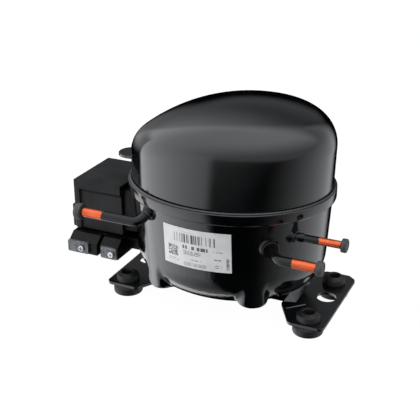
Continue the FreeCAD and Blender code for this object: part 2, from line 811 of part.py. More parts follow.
def make_motor():
    """Laminated stator, its windings and screws, and the squirrel-cage rotor."""
    height = D.stack_top - D.stack_base
    stator = new_body("stator_blank")
    profile = sketch(stator, offset=D.stack_base)
    rectangle(profile, -D.stack_half, -D.stack_half, D.stack_half, D.stack_half)
    circle(profile, D.stack_bore)
    pad(stator, profile, height)
    slot = sketch(stator, offset=D.stack_base)
    circle(slot, D.slot_radius, D.slot_circle)
    around(stator, pocket_through(stator, slot), 24)
    holes = four_posts("stack_hole", D.stack_screw + 0.1, height, D.stack_base)
    round_limit = cylinder("stack_limit", D.stack_radius, height, (0, 0, D.stack_base))
    trimmed = common("stator_trim", stator, round_limit)
    node("stator_core", cut("stator_core", trimmed, group("stack_holes", holes)))

    coils = new_body("stator_windings")
    lower = sketch(coils, offset=D.stack_base - D.coil_height)
    circle(lower, D.coil_outer)
    circle(lower, D.coil_inner)
    pad(coils, lower, D.coil_height)
    bar = sketch(coils, offset=D.stack_base - 1)
    circle(bar, D.slot_radius - 0.2, D.slot_circle)
    around(coils, pad(coils, bar, height + 2), 24)
    upper = sketch(coils, offset=D.stack_top)
    circle(upper, D.coil_outer)
    circle(upper, D.coil_inner)
    pad(coils, upper, D.coil_height)
    node("stator_windings", coils)

    heads = four_posts("stack_screw_head", 4.4, 4, D.stack_base - 4)
    reach = D.frame_base + D.frame_thick - D.stack_base
    shanks = four_posts("stack_screw_shank", D.stack_screw, reach, D.stack_base)
    node("stator_screws", group("stator_screws", [fuse("stack_screw", *pair) for pair in zip(heads, shanks)]))

    core = new_body("rotor_core")
    disc = sketch(core, offset=D.stack_base)
    circle(disc, D.rotor_radius)
    circle(disc, D.shaft_radius)
    pad(core, disc, height)
    hole = sketch(core, offset=D.stack_base)
    circle(hole, D.cage_bar + 0.1, D.cage_circle)
    around(core, pocket_through(core, hole), 20)
    node("rotor_core", core)

    cage = new_body("rotor_cage")
    for offset in (D.stack_base - D.cage_ring, D.stack_top):
        ring = sketch(cage, offset=offset)
        circle(ring, D.rotor_radius - 1.5)
        circle(ring, D.rotor_radius - 12)
        pad(cage, ring, D.cage_ring)
        if offset.number < D.stack_base.number:
            rung = sketch(cage, offset=D.stack_base - 1)
            circle(rung, D.cage_bar, D.cage_circle)
            around(cage, pad(cage, rung, height + 2), 20)
    node("rotor_cage", cage)


# ---------------------------------------------------------------- pump

def make_frame():
    """Cast frame: main bearing, four legs on the stator and the cylinder barrel."""
    axis_z = D.cylinder_z
    half = D.barrel_half
    slab = box("frame_slab", (-D.frame_half_x, -D.frame_half_y, D.frame_base),
               (D.frame_half_x, D.frame_half_y, D.frame_base + D.frame_thick))
    plate = fillet("frame_plate", slab, 12, upright)
    bearing_height = D.bearing_top - D.bearing_floor
    bearing = cylinder("frame_bearing", D.bearing_radius, bearing_height, (0, 0, D.bearing_floor))
    barrel = cylinder("frame_barrel", half, D.barrel_end - D.barrel_start, (D.barrel_start, 0, axis_z), "x")
    flange = box("frame_flange", (D.barrel_end - 12, -half, axis_z - half),
                 (D.barrel_end, half, axis_z + half))
    flange = fillet("flange_soft", flange, 3, along_x)
    saddle = box("frame_saddle", (D.barrel_start, -half, D.frame_base + 3), (D.barrel_end, half, axis_z))
    legs = four_posts("frame_leg", 6, D.frame_base - D.stack_top, D.stack_top)
    solid = fuse("frame_solid", plate, bearing, barrel, flange, saddle, *legs)
    tools = [cylinder("frame_journal", D.shaft_radius + D.running_gap, 30, (0, 0, D.bearing_floor - 1)),
             cylinder("frame_bore", D.bore_radius, 40, (D.barrel_start - 1, 0, axis_z), "x"),
             cylinder("web_room", D.counterweight_radius + 1.5, 20, (0, 0, D.bearing_top)),
             group("leg_threads", four_posts("leg_thread", D.stack_screw + 0.1, 30, D.stack_top - 1)),
             group("head_threads", bolt_row("head_thread", D.head_bolt + 0.1, 11, D.barrel_end - 10))]
    node("cylinder_block", cut("cylinder_block", solid, *tools))
    washer_height = D.web_base - D.bearing_top
    node("thrust_washer", tube("thrust_washer", D.bearing_radius, 4.6, washer_height, (0, 0, D.bearing_top)))


def bolt_row(name, radius, length, start):
    """Four parallel cylinders at the head's bolt positions, along +X."""
    pitch = D.head_bolt_pitch
    return [cylinder(name, radius, length, (start, pitch * y_side, D.cylinder_z + pitch * z_side), "x")
            for y_side, z_side in CORNERS]


def make_crank():
    """Crankshaft with its web, pin and oil ways, the pickup below it and the gallery plug in it."""
    shaft = cylinder("shaft_journal", D.shaft_radius, D.web_base - D.shaft_foot, (0, 0, D.shaft_foot))
    disc = cylinder("web_disc", 14, D.web_thick, (0, 0, D.web_base))
    pin = cylinder("shaft_pin", D.crank_pin, D.crank_pin_top - D.web_base, (D.throw, 0, D.web_base))
    weight_round = cylinder("weight_round", D.counterweight_radius, D.web_thick, (0, 0, D.web_base))
    weight_half = box("weight_half", (-30, -30, D.web_base), (-2, 30, D.web_base + D.web_thick))
    weight = common("weight", weight_round, weight_half)
    solid = fuse("shaft_solid", shaft, disc, pin, weight)
    well = cylinder("oil_well", D.oil_bore, 12, (0, 0, D.shaft_foot))
    gallery = cylinder("oil_gallery", D.gallery_bore, 50, (D.throw * 0.5, 0, D.shaft_foot + 11))
    node("crankshaft", cut("crankshaft", solid, well, gallery))
    plug_at = (D.throw * 0.5, 0, 70)
    node("oil_gallery_plug", cylinder("oil_gallery_plug", D.gallery_bore - D.running_gap, 6, plug_at))
    sleeve = cylinder("pickup_sleeve", D.oil_bore - 0.02, 10, (0, 0, D.shaft_foot))
    nose = cone("pickup_nose", 3.0, D.oil_bore - 0.02, 12, (0, 0, D.shaft_foot - 12))
    bore = cylinder("pickup_bore", 2.0, 30, (0, 0, 25))
    node("oil_pickup", cut("oil_pickup", fuse("pickup_solid", sleeve, nose), bore))


def make_piston():
    """Piston and cross tube, which move as one, and the slider block on the crank pin."""
    axis_z = D.cylinder_z
    yoke_start = (D.throw, -D.yoke_half, axis_z)
    yoke = tube("yoke_tube", D.yoke_radius, D.yoke_radius - D.yoke_bore, D.yoke_half * 2, yoke_start, "y")
    slot = box("yoke_opening", (D.throw - D.yoke_slot * 0.5, -D.yoke_slot_length * 0.5, axis_z - 20),
               (D.throw + D.yoke_slot * 0.5, D.yoke_slot_length * 0.5, axis_z))
    node("cross_tube", cut("cross_tube", yoke, slot))

    slug = cylinder("piston_slug", D.bore_radius - D.running_gap, D.piston_crown - D.piston_start,
                    (D.piston_start, 0, axis_z), "x")
    seat = cylinder("piston_seat", D.yoke_radius, 60, (D.throw, -30, axis_z), "y")
    relief = box("piston_relief", (D.piston_crown - 1.4, -D.port_y - 5, axis_z - 9),
                 (D.piston_crown + 1, -D.port_y + 4.6, axis_z + 9))
    hollow = cylinder("piston_hollow", 8, 20, (D.piston_start - 1, 0, axis_z), "x")
    grooves = [tube("groove", 14, 2.2, 1.2, (x, 0, axis_z), "x") for x in (41, 45)]
    node("piston", cut("piston", slug, seat, relief, hollow, *grooves))

    block = cylinder("slider_round", D.yoke_bore - D.running_gap, D.slider_half * 2,
                     (D.throw, -D.slider_half, axis_z), "y")
    bore = cylinder("slider_bore", D.crank_pin + D.running_gap, 30, (D.throw, 0, axis_z - 15))
    node("slider_block", cut("slider_block", block, bore))


def head_slab(name, start, thick, soft=3.0):
    """Rounded square slab of the cylinder head's outline, with its four bolt holes."""
    slab = box(name + "_slab", (start, -D.barrel_half, D.cylinder_z - D.barrel_half),
               (as_size(start) + thick, D.barrel_half, D.cylinder_z + D.barrel_half))
    holes = group(name + "_holes", bolt_row(name + "_hole", D.head_bolt + 0.1, thick, start))
    return cut(name + "_drilled", fillet(name + "_soft", slab, soft, along_x), holes)


def make_valves():
    """Valve plate, reeds, gaskets, head and head bolts, stacked outwards from the barrel."""
    axis_z = D.cylinder_z
    reed_at = D.barrel_end + D.gasket
    plate_at = reed_at + D.reed
    outer_at = plate_at + D.valve_plate
    head_at = outer_at + D.gasket

    inner_gasket = head_slab("inner_gasket", D.barrel_end, D.gasket)
    gasket_bore = cylinder("gasket_bore", D.bore_radius + 0.5, 3, (D.barrel_end - 1, 0, axis_z), "x")
    node("valve_plate_gasket", cut("valve_plate_gasket", inner_gasket, gasket_bore))

    tongue_foot = axis_z - 7.5
    half = D.reed_width * 0.5
    window = box("reed_window", (reed_at - 1, -D.port_y - half - 0.4, tongue_foot - 0.3),
                 (reed_at + 1, -D.port_y + half + 0.4, axis_z + 8.4))
    release = cylinder("reed_release", 3.2, 3, (reed_at - 1, D.port_y, axis_z), "x")
    sheet = head_slab("reed_sheet", reed_at, D.reed)
    node("suction_reed_sheet", cut("suction_reed_sheet", sheet, window, release))

    def is_tip(edge):
        return along_x(edge) and edge.BoundBox.ZMin > axis_z.number

    tongue = box("suction_tongue", (reed_at, -D.port_y - half, tongue_foot),
                 (reed_at + D.reed, -D.port_y + half, axis_z + 8))
    node("suction_reed", fillet("suction_reed", tongue, 3.5, is_tip))

    ports = [cylinder("suction_port", D.port_radius, 5, (plate_at - 1, -D.port_y, axis_z + 3), "x"),
             cylinder("discharge_port", D.port_radius, 5, (plate_at - 1, D.port_y, axis_z), "x")]
    node("valve_plate", cut("valve_plate", head_slab("port_plate", plate_at, D.valve_plate), *ports))

    chambers = [((-16.5, -13.0), (-2.0, 13.0)), ((2.0, -13.0), (16.5, 13.0))]
    openings = []
    hollows = []
    for low, high in chambers:
        far = (high[0], axis_z + high[1])
        openings.append(box("gasket_chamber", (outer_at - 1, low[0], axis_z + low[1]), (head_at + 1, *far)))
        hollows.append(box("head_chamber", (outer_at, low[0], axis_z + low[1]), (head_at + 10, *far)))
    node("head_gasket", cut("head_gasket", head_slab("outer_gasket", outer_at, D.gasket), *openings))

    near = D.port_y - 3.4
    far = D.port_y + 3.4
    discharge = box("discharge_tongue", (outer_at, near, axis_z - 9), (outer_at + D.reed, far, axis_z + 4))
    node("discharge_reed", fillet("discharge_reed", discharge, 3.2, is_tip))
    stop = box("stop_arm", (outer_at + 1.6, near, axis_z - 13), (outer_at + 2.8, far, axis_z + 4))
    stop_foot = box("stop_foot", (outer_at, near, axis_z - 13), (outer_at + 2.8, far, axis_z - 9.4))
    node("discharge_valve_stop", fuse("discharge_valve_stop", stop, stop_foot))

    side_ports = [cylinder("head_inlet", 3.0, 6, (D.head_port_x, -D.barrel_half - 1, axis_z), "y"),
                  cylinder("head_outlet", 2.0, 6, (D.head_port_x, D.barrel_half - 5, axis_z), "y")]
    head = head_slab("head", head_at, D.head_thick)
    node("cylinder_head", cut("cylinder_head", head, *hollows, *side_ports))

    face = head_at + D.head_thick
    shanks = bolt_row("head_bolt_shank", D.head_bolt, face - D.barrel_end + 9, D.barrel_end - 9)
    heads = bolt_row("head_bolt_head", 3.5, 3.5, face)
    node("head_bolts", group("head_bolts", [fuse("head_bolt", *pair) for pair in zip(shanks, heads)]))


def make_gas_path():
    """Suction muffler with its neck, discharge muffler with its pipe, and the shock loop to the shell."""
    axis_z = D.cylinder_z
    case = fillet("suction_case", box("suction_box", (14, -52, 116), (46, -24, 146)), 5.0, upright)
    cavity = box("suction_cavity", (16, -50, 118), (44, -26, 144))
    outlet = cylinder("muffler_outlet", 3.0, 4, (43, -32, axis_z), "x")
    inlet = cylinder("muffler_inlet", 4.0, 4, (30, -53, 128), "y")
    node("suction_muffler", cut("suction_muffler", case, cavity, outlet, inlet))
    neck = [(46, -32, axis_z), (D.head_port_x, -32, axis_z), (D.head_port_x, -D.barrel_half, axis_z)]
    node("suction_neck", bent_tube("suction_neck", 4.0, 1.0, neck, 7.0))

    drum = cylinder("discharge_drum", 14, 26, (28, 40, D.frame_base + D.frame_thick))
    can = fillet("discharge_can", drum, 4.0, level_at(140))
    chamber = cylinder("discharge_chamber", 12.5, 22, (28, 40, D.frame_base + D.frame_thick + 1.5))
    mouths = [cylinder("can_inlet", 2.0, 5, (38.5, 40, axis_z - 4), "x"),
              cylinder("can_outlet", 1.7, 5, (38.5, 40, 120), "x")]
    node("discharge_muffler", cut("discharge_muffler", can, chamber, *mouths))
    pipe = [(42.2, 40, axis_z - 4), (D.head_port_x, 40, axis_z - 4), (D.head_port_x, 30, axis_z),
            (D.head_port_x, D.barrel_half, axis_z)]
    node("discharge_pipe", bent_tube("discharge_pipe", 3.0, 1.0, pipe, 4.0))
    loop = [(42.8, 40, 120), (62, 34, 120), (66, 10, 90), (62, -22, 76), (59, D.discharge_y, D.discharge_z),
            (65.8, D.discharge_y, D.discharge_z)]
    node("discharge_shock_loop", bent_tube("discharge_shock_loop", 2.3, 0.6, loop, 5.0))


def make_suspension():
    """Four coil springs between stubs on the shell floor and stubs under the stator screws."""
    springs = []
    lower = []
    upper = []
    turns = 6
    floor = D.pocket_floor + D.shell_wall
    rise = D.stack_base - 4 - D.spring_top
    for x_side, y_side in CORNERS:
        x = D.bolt_ring_x * x_side
        y = D.bolt_ring_y * y_side
        springs.append(spring(x, y, turns))
        lower_disc = cylinder("lower_flange", D.seat_radius, D.spring_foot - floor, (x, y, floor))
        lower_stub = cone("lower_stub", D.seat_stub, 3.2, 7, (x, y, D.spring_foot))
        lower.append(fuse("lower_seat", lower_disc, lower_stub))
        upper_disc = cylinder("upper_flange", D.seat_radius, rise, (x, y, D.spring_top))
        upper_stub = cone("upper_stub", 3.2, D.seat_stub, 6, (x, y, D.spring_top - 6))
        upper.append(fuse("upper_seat", upper_disc, upper_stub))
    node("suspension_springs", group("suspension_springs", springs))
    node("lower_spring_seats", group("lower_spring_seats", lower))
    node("upper_spring_seats", group("upper_spring_seats", upper))


def spring(x, y, turns):
    """Open coil spring, standing at (x, y)."""
    rise = D.spring_top - D.spring_foot - D.spring_wire * 2 - 0.2
    helix = doc.addObject("Part::Helix", "spring_helix")
    bind(helix, Radius=D.spring_radius, Height=rise, Pitch=rise * (1 / turns))
    put(helix, (x, y, D.spring_foot + D.spring_wire + 0.1))
    ring = doc.addObject("Part::Circle", "spring_ring")
    bind(ring, Radius=D.spring_wire)
    put(ring, (x + D.spring_radius, y, D.spring_foot + D.spring_wire + 0.1), AIM["y"])
    coil = doc.addObject("Part::Sweep", "spring_coil")
    coil.Sections = [ring]
    coil.Spine = (helix, [])
    coil.Solid = True
    coil.Frenet = True
    return coil


def make_wiring():
    """Connector on the inner ends of the terminal pins and three leads down to the windings."""
    block = box("connector_case", (-79, -13, 62), (-71, 13, 86))
    socket_radius = D.pin_radius + 0.1
    sockets = [cylinder("connector_socket", socket_radius, 8, (-80, y, z), "x") for y, z in pin_centres()]
    node("connector_block", fillet("connector_block", cut("connector_cut", block, *sockets), 1.2, upright))
    leads = []
    for y in (-6, 0, 6):
        run = [(-70.9, y, 66), (-63, y, 66), (-63, y, 49), (-48.3, y, 49)]
        path, start, heading = route("lead_route", run, 4.0)
        leads.append(rod("lead", 1.1, path, start, heading))
    node("lead_wires", group("lead_wires", leads))


# ---------------------------------------------------------------- build and write

def check():
    """Stop if any object failed or any finished piece has a missing, invalid or empty shape."""
    failed = [item.Name for item in doc.Objects if "Invalid" in item.State or "Error" in item.State]
    if failed:
        raise RuntimeError(f"these objects failed: {failed}")
    for name, item in NODES:
        if item.Shape.isNull() or not item.Shape.isValid() or not item.Shape.Solids:
            raise RuntimeError(f"{name} has a bad shape")


def write():
    """Write each finished piece to its own file."""
    os.makedirs("parts", exist_ok=True)
    for name, item in NODES:
        item.Shape.exportStep(f"parts/{name}.step")
        print(f"{name}: {len(item.Shape.Solids)} solids, {item.Shape.Volume:.1f} mm3")


bowl_solid = make_shells()
make_tubes(bowl_solid)
make_label(bowl_solid)
make_feet()
make_terminals(bowl_solid)
make_motor()
make_frame()
make_crank()
make_piston()
make_valves()
make_gas_path()
make_suspension()
make_wiring()
doc.recompute()
check()
write()
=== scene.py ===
"""Looks of the hermetic compressor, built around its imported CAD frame.

Sizes are in millimetres until a mesh is made.
"""

import json
import math

import bmesh
import bpy
import numpy as np
from mathutils import Matrix, Vector

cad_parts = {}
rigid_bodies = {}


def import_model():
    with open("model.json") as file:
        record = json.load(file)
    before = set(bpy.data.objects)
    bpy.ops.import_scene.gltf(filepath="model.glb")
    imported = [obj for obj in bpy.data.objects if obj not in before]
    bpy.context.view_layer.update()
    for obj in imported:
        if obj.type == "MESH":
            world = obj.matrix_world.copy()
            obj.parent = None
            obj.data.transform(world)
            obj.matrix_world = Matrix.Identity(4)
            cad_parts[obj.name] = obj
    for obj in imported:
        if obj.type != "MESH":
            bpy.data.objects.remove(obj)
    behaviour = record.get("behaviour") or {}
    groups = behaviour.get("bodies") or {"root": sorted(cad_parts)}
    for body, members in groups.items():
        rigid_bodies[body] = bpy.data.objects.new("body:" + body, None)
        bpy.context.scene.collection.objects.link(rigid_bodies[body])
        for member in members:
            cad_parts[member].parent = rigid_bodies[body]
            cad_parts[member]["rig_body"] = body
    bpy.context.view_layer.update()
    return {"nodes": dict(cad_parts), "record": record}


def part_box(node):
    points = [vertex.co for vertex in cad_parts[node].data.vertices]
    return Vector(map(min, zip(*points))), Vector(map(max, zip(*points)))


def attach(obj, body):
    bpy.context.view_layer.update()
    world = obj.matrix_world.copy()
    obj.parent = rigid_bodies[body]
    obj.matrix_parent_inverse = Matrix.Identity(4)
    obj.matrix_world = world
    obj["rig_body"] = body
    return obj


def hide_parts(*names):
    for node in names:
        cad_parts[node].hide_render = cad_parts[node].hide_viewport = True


MM = 0.001
AROUND = 320  # columns round the shells

# Pressure shell, as in the CAD source.
WALL = 3.0
SEAM_X, SEAM_Y = 87.0, 76.0
SEAM_Z = 102.5
UPPER_REACH = 97.5
UPPER_TAPER_X, UPPER_TAPER_Y = 3.6, -11.4
CROWN_RADIUS = 154.7
CROWN_X, CROWN_Z = 16.9, 27.9
SHOULDER = 28.0
BOWL_MOUTH_Y = 76.5
BOWL_FOOT_X, BOWL_FOOT_Y = 82.0, 71.3
BOWL_FLOOR = 18.0
BOWL_ROUND = 33.0
POCKET_X, POCKET_Y, POCKET_RADIUS = 41.0, 50.5, 13.0
POCKET_FLOOR, POCKET_SOFT = 24.0, 5.0
RIM_X, RIM_Y = 90.1, 79.2
RIM_BASE, RIM_TOP = 100.5, 110.4
RIM_BELL, RIM_LIP = 2.0, 0.8

# Tubes; the discharge tube is the thin one. A root is where a tube leaves the shell.
TUBE_RADIUS = 4.0
THIN_RADIUS = 3.15
TUBE_WALL = 0.7
SUCTION_ROOT = (54.4, -52.8, 80.0)
SUCTION_AIM = (15.6, -20.2, 0.0)
PROCESS_ROOT = (-44.5, -61.9, 96.0)
PROCESS_AIM = (-8.5, -8.1, -9.0)

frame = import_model()
SLOTS = {part["node"]: part["material_slot"] for part in frame["record"]["subparts"]}


# ---------------------------------------------------------------- mesh tools

def extent(node):
    """Lowest and highest corner of a CAD node in millimetres."""
    low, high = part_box(node)
    return low / MM, high / MM


def skin(rings, wrap=False):
    """Points and faces of the surface through equal rings; wrap joins the last ring to the first."""
    count = len(rings[0])
    points = [point for ring in rings for point in ring]
    faces = []
    for row in range(len(rings) if wrap else len(rings) - 1):
        here = row * count
        above = (row + 1) % len(rings) * count
        for column in range(count):
            right = (column + 1) % count
            faces.append((here + column, here + right, above + right, above + column))
    return points, faces


def joined(*parts):
    """Several (points, faces) pairs as one."""
    points, faces = [], []
    for more_points, more_faces in parts:
        start = len(points)
        points.extend(more_points)
        faces.extend(tuple(start + i for i in face) for face in more_faces)
    return points, faces


def soften(corners, closed=True, steps=5):
    """Points along a line whose corners (point, radius) are turned with that radius."""
    out = []
    for i, (corner, radius) in enumerate(corners):
        here = Vector(corner)
        if radius == 0 or (not closed and i in (0, len(corners) - 1)):
            out.append(here)
            continue
        back = (Vector(corners[i - 1][0]) - here).normalized()
        ahead = (Vector(corners[(i + 1) % len(corners)][0]) - here).normalized()
        half = back.angle(ahead) / 2
        centre = here + (back + ahead).normalized() * (radius / math.sin(half))
        start = here + back * (radius / math.tan(half)) - centre
        for k in range(steps + 1):
            turn = (math.pi - 2 * half) * k / steps
            out.append(centre + start * math.cos(turn) - back * (radius * math.sin(turn)))
    return out


def lathe(centre, axis, profile, count=64, wrap=False):
    """Surface of revolution about an axis through centre, from points (radius, distance along the axis)."""
    aim = Vector(axis).normalized()
    turn = aim.to_track_quat("Z", "Y").to_matrix()
    across, up = turn.col[0], turn.col[1]
    rings = []
    for radius, along in profile:
        ring = []
        for k in range(count):
            angle = 2 * math.pi * k / count
            spoke = across * math.cos(angle) + up * math.sin(angle)
            ring.append(Vector(centre) + aim * along + spoke * radius)
        rings.append(ring)
    return skin(rings, wrap)


def sweep(path, outline, count=40):
    """Hollow tube along a path; outline holds its outer and its inner radius."""
    side = None
    stations = []
    for i, point in enumerate(path):
        ahead = (path[min(i + 1, len(path) - 1)] - path[max(i - 1, 0)]).normalized()
        if side is None:
            side = ahead.orthogonal().normalized()
        side = (side - ahead * side.dot(ahead)).normalized()
        stations.append((point, side.copy(), ahead.cross(side)))
    rings = []
    for order, radius in ((stations, outline[0]), (stations[::-1], outline[1])):
        for point, first, second in order:
            ring = []
            for k in range(count):
                angle = 2 * math.pi * k / count
                ring.append(point + (first * math.cos(angle) + second * math.sin(angle)) * radius)
            rings.append(ring)
    return skin(rings, wrap=True)


def new_mesh(name, points, faces):
    """Mesh in metres with welded points, outward faces and smooth shading."""
    mesh = bpy.data.meshes.new(name)
    mesh.from_pydata([Vector(p) * MM for p in points], [], faces)
    work = bmesh.new()
    work.from_mesh(mesh)
    bmesh.ops.remove_doubles(work, verts=work.verts, dist=0.001 * MM)
    bmesh.ops.dissolve_degenerate(work, edges=work.edges, dist=0.0005 * MM)
    bmesh.ops.recalc_face_normals(work, faces=work.faces)
    work.to_mesh(mesh)
    work.free()
    mesh.shade_smooth()
    return mesh


def place(name, mesh, material, node):
    """The mesh as a piece that stands for a CAD node and rides on that node's body."""
    item = bpy.data.objects.new(name, mesh)
    bpy.context.scene.collection.objects.link(item)
    mesh.materials.clear()
    mesh.materials.append(material)
    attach(item, frame["nodes"][node]["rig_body"])
    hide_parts(node)
    return item


def soft_edges(item, width, angle=32.0, segments=3):
    """Rounded edges with clean shading."""
    bevel = item.modifiers.new("soft_edges", "BEVEL")
    bevel.width = width * MM
    bevel.segments = segments
    bevel.limit_method = "ANGLE"
    bevel.angle_limit = math.radians(angle)
    bevel.harden_normals = True
    bevel.miter_outer = "MITER_ARC"
    even = item.modifiers.new("even_shading", "WEIGHTED_NORMAL")
    even.keep_sharp = True
    return item


def refine(node, name, material, width, angle=32.0):
    """A CAD node's shape again with merged flat faces and rounded edges."""
    mesh = frame["nodes"][node].data.copy()
    work = bmesh.new()
    work.from_mesh(mesh)
    bmesh.ops.remove_doubles(work, verts=work.verts, dist=0.004 * MM)
    bmesh.ops.dissolve_limit(work, angle_limit=math.radians(0.5), verts=work.verts, edges=work.edges)
    work.to_mesh(mesh)
    work.free()
    mesh.shade_smooth()
    mesh.set_sharp_from_angle(angle=math.radians(angle))
    return soft_edges(place(name, mesh, material, node), width, angle)


# ---------------------------------------------------------------- material tools

class Finish:
    """A procedural material under construction."""

    def __init__(self, name, **constants):
        self.material = bpy.data.materials.new(name)
        self.material.use_nodes = True
        self.nodes = self.material.node_tree.nodes
        self.nodes.clear()
        output = self.nodes.new("ShaderNodeOutputMaterial")
        self.shader = self.nodes.new("ShaderNodeBsdfPrincipled")
        self.wire(self.shader.outputs[0], output.inputs[0])
        for socket, value in constants.items():
            self.shader.inputs[socket.replace("_", " ")].default_value = value
        self.place = self.nodes.new("ShaderNodeTexCoord").outputs["Object"]

    def wire(self, value, socket):
        """Joins an output to an input, or sets a plain value on it."""
        if isinstance(value, bpy.types.NodeSocket):
            self.material.node_tree.links.new(value, socket)
        else:
            socket.default_value = value

    def math(self, operation, *values):
        node = self.nodes.new("ShaderNodeMath")
        node.operation = operation
        for i, value in enumerate(values):
            self.wire(value, node.inputs[i])
        return node.outputs[0]

    def noise(self, scale, detail=3.0, stretch=(1, 1, 1)):
        """Noise with so many features per metre."""
        spread = self.nodes.new("ShaderNodeMapping")
        spread.inputs["Scale"].default_value = stretch
        self.wire(self.place, spread.inputs["Vector"])
        node = self.nodes.new("ShaderNodeTexNoise")
        node.inputs["Scale"].default_value = scale
        node.inputs["Detail"].default_value = detail
        self.wire(spread.outputs[0], node.inputs["Vector"])
        return node.outputs["Fac"]

    def span(self, value, low, high, start=0.35, end=0.65):
        """value from start to end as low to high, with soft ends."""
        node = self.nodes.new("ShaderNodeMapRange")
        node.interpolation_type = "SMOOTHSTEP"
        for socket, number in (("From Min", start), ("From Max", end), ("To Min", low), ("To Max", high)):
            self.wire(number, node.inputs[socket])
        self.wire(value, node.inputs["Value"])
        return node.outputs[0]

    def mix(self, share, first, second):
        node = self.nodes.new("ShaderNodeMix")
        node.data_type = "RGBA"
        self.wire(share, node.inputs[0])
        self.wire(colour(first), node.inputs[6])
        self.wire(colour(second), node.inputs[7])
        return node.outputs[2]

    def paint(self, value):
        self.wire(colour(value), self.shader.inputs["Base Color"])
        return self

    def gloss(self, value):
        self.wire(value, self.shader.inputs["Roughness"])
        return self

    def bump(self, height, depth, strength=1.0):
        """Relief of so many millimetres."""
        node = self.nodes.new("ShaderNodeBump")
        node.inputs["Strength"].default_value = strength
        node.inputs["Distance"].default_value = depth * MM
        self.wire(height, node.inputs["Height"])
        self.wire(node.outputs[0], self.shader.inputs["Normal"])
        return self


def colour(value):
    """Three numbers as a colour; an output stays as it is."""
    return value if isinstance(value, bpy.types.NodeSocket) else (*value, 1.0)


def plain_finish(name, dark, light, gloss, patch, grain, depth, stretch=(1, 1, 1), **constants):
    """Colour that drifts between two tones, gloss that drifts with it, and a fine relief."""
    made = Finish(name, **constants)
    drift = made.noise(patch)
    made.paint(made.mix(made.span(drift, 0.0, 1.0), dark, light))
    made.gloss(made.span(made.noise(patch * 2.3, 4.0), *gloss))
    made.bump(made.noise(grain, 4.0, stretch), depth)
    return made.material


# ---------------------------------------------------------------- materials

def enamel():
    """Glossy black stove enamel with a faint orange peel."""
    made = Finish("black_enamel")
    made.shader.inputs["IOR"].default_value = 1.5
    drift = made.span(made.noise(24.0), 0.0, 1.0)
    made.paint(made.mix(drift, (0.0006, 0.0008, 0.0009), (0.0013, 0.0015, 0.0017)))
    made.gloss(made.span(made.noise(45.0, 4.0), 0.085, 0.13))
    peel = made.math("ADD", made.noise(260.0, 2.0), made.math("MULTIPLY", made.noise(1400.0, 2.0), 0.15))
    made.bump(peel, 0.012)
    return made.material


def plate_paint():
    """Satin black paint on pressed sheet."""
    return plain_finish("black_plate", (0.002, 0.0023, 0.0026), (0.004, 0.0043, 0.0046), (0.18, 0.28),
                        60.0, 900.0, 0.03)


def collar_enamel():
    """Duller black enamel on the brazed collars."""
    return plain_finish("collar_enamel", (0.001, 0.0011, 0.0012), (0.002, 0.0022, 0.0024), (0.14, 0.22),
                        80.0, 1200.0, 0.03, Specular_IOR_Level=0.18)


def weld_bead():
    """Painted weld with the ripples of the torch."""
    return plain_finish("painted_weld", (0.001, 0.001, 0.0012), (0.003, 0.003, 0.0035), (0.22, 0.4),
                        300.0, 1500.0, 0.08)


def moulded_rubber():
    """Matte black rubber."""
    return plain_finish("black_rubber", (0.002, 0.002, 0.0022), (0.004, 0.004, 0.0044), (0.45, 0.6),
                        90.0, 2200.0, 0.05, Specular_IOR_Level=0.25)


def plug_rubber():
    """Dark grey rubber of the shipping plugs."""
    return plain_finish("grey_rubber", (0.013, 0.014, 0.014), (0.022, 0.023, 0.023), (0.6, 0.78),
                        160.0, 2600.0, 0.05)


def copper():
    """Bare copper tube with black enamel over its root."""
    made = Finish("tube_copper")
    bare = made.nodes.new("ShaderNodeAttribute")
    bare.attribute_name = "bare"
    edge = made.math("ADD", bare.outputs["Fac"], made.span(made.noise(900.0, 3.0), -0.08, 0.08, 0.3, 0.7))
    share = made.span(edge, 0.0, 1.0, 0.46, 0.54)
    drift = made.span(made.noise(240.0, 4.0, (0.25, 1, 1)), 0.0, 1.0)
    metal = made.mix(drift, (0.33, 0.060, 0.025), (0.45, 0.090, 0.038))
    made.paint(made.mix(share, (0.001, 0.0011, 0.0012), metal))
    made.shader.inputs["Specular IOR Level"].default_value = 0.22
    made.wire(share, made.shader.inputs["Metallic"])
    worn = made.span(made.noise(500.0, 4.0), 0.24, 0.40)
    made.gloss(made.math("ADD", made.math("MULTIPLY", share, made.math("SUBTRACT", worn, 0.16)), 0.16))
    made.bump(made.noise(1500.0, 3.0, (0.1, 1, 1)), 0.02)
    return made.material


def shell_plastic():
    """Fine-grained black plastic of the electrical cover."""
    return plain_finish("cover_plastic", (0.006, 0.0062, 0.0063), (0.010, 0.0105, 0.0106), (0.4, 0.52),
                        50.0, 3200.0, 0.035, Specular_IOR_Level=0.12)


def block_plastic():
    """Black, smoother plastic of the terminal block, its fence and the bracket; its colour is set darker than
    the cover's, partly as painted shade where these parts sit between the cover and the shell.
    """
    return plain_finish("block_plastic", (0.0015, 0.0015, 0.0016), (0.003, 0.003, 0.0033), (0.3, 0.44),
                        80.0, 2400.0, 0.03, Specular_IOR_Level=0.1)


def clamp_metal():
    """Dull plated steel with fine cross serrations."""
    made = Finish("clamp_steel", Metallic=0.75)
    drift = made.span(made.noise(300.0, 4.0), 0.0, 1.0)
    made.paint(made.mix(drift, (0.07, 0.073, 0.077), (0.13, 0.135, 0.14)))
    made.gloss(made.span(made.noise(500.0), 0.42, 0.6))
    ribs = made.nodes.new("ShaderNodeTexWave")
    ribs.inputs["Scale"].default_value = 320.0
    ribs.inputs["Distortion"].default_value = 1.2
    made.wire(made.place, ribs.inputs["Vector"])
    made.bump(made.math("ADD", ribs.outputs["Fac"], made.noise(2000.0)), 0.08)
    return made.material


def metal(name, dark, light, gloss, grain=900.0, depth=0.02, stretch=(1, 1, 1)):
    """Bare metal with drifting tone and a machined or cast relief."""
    return plain_finish(name, dark, light, gloss, 70.0, grain, depth, stretch, Metallic=1.0)


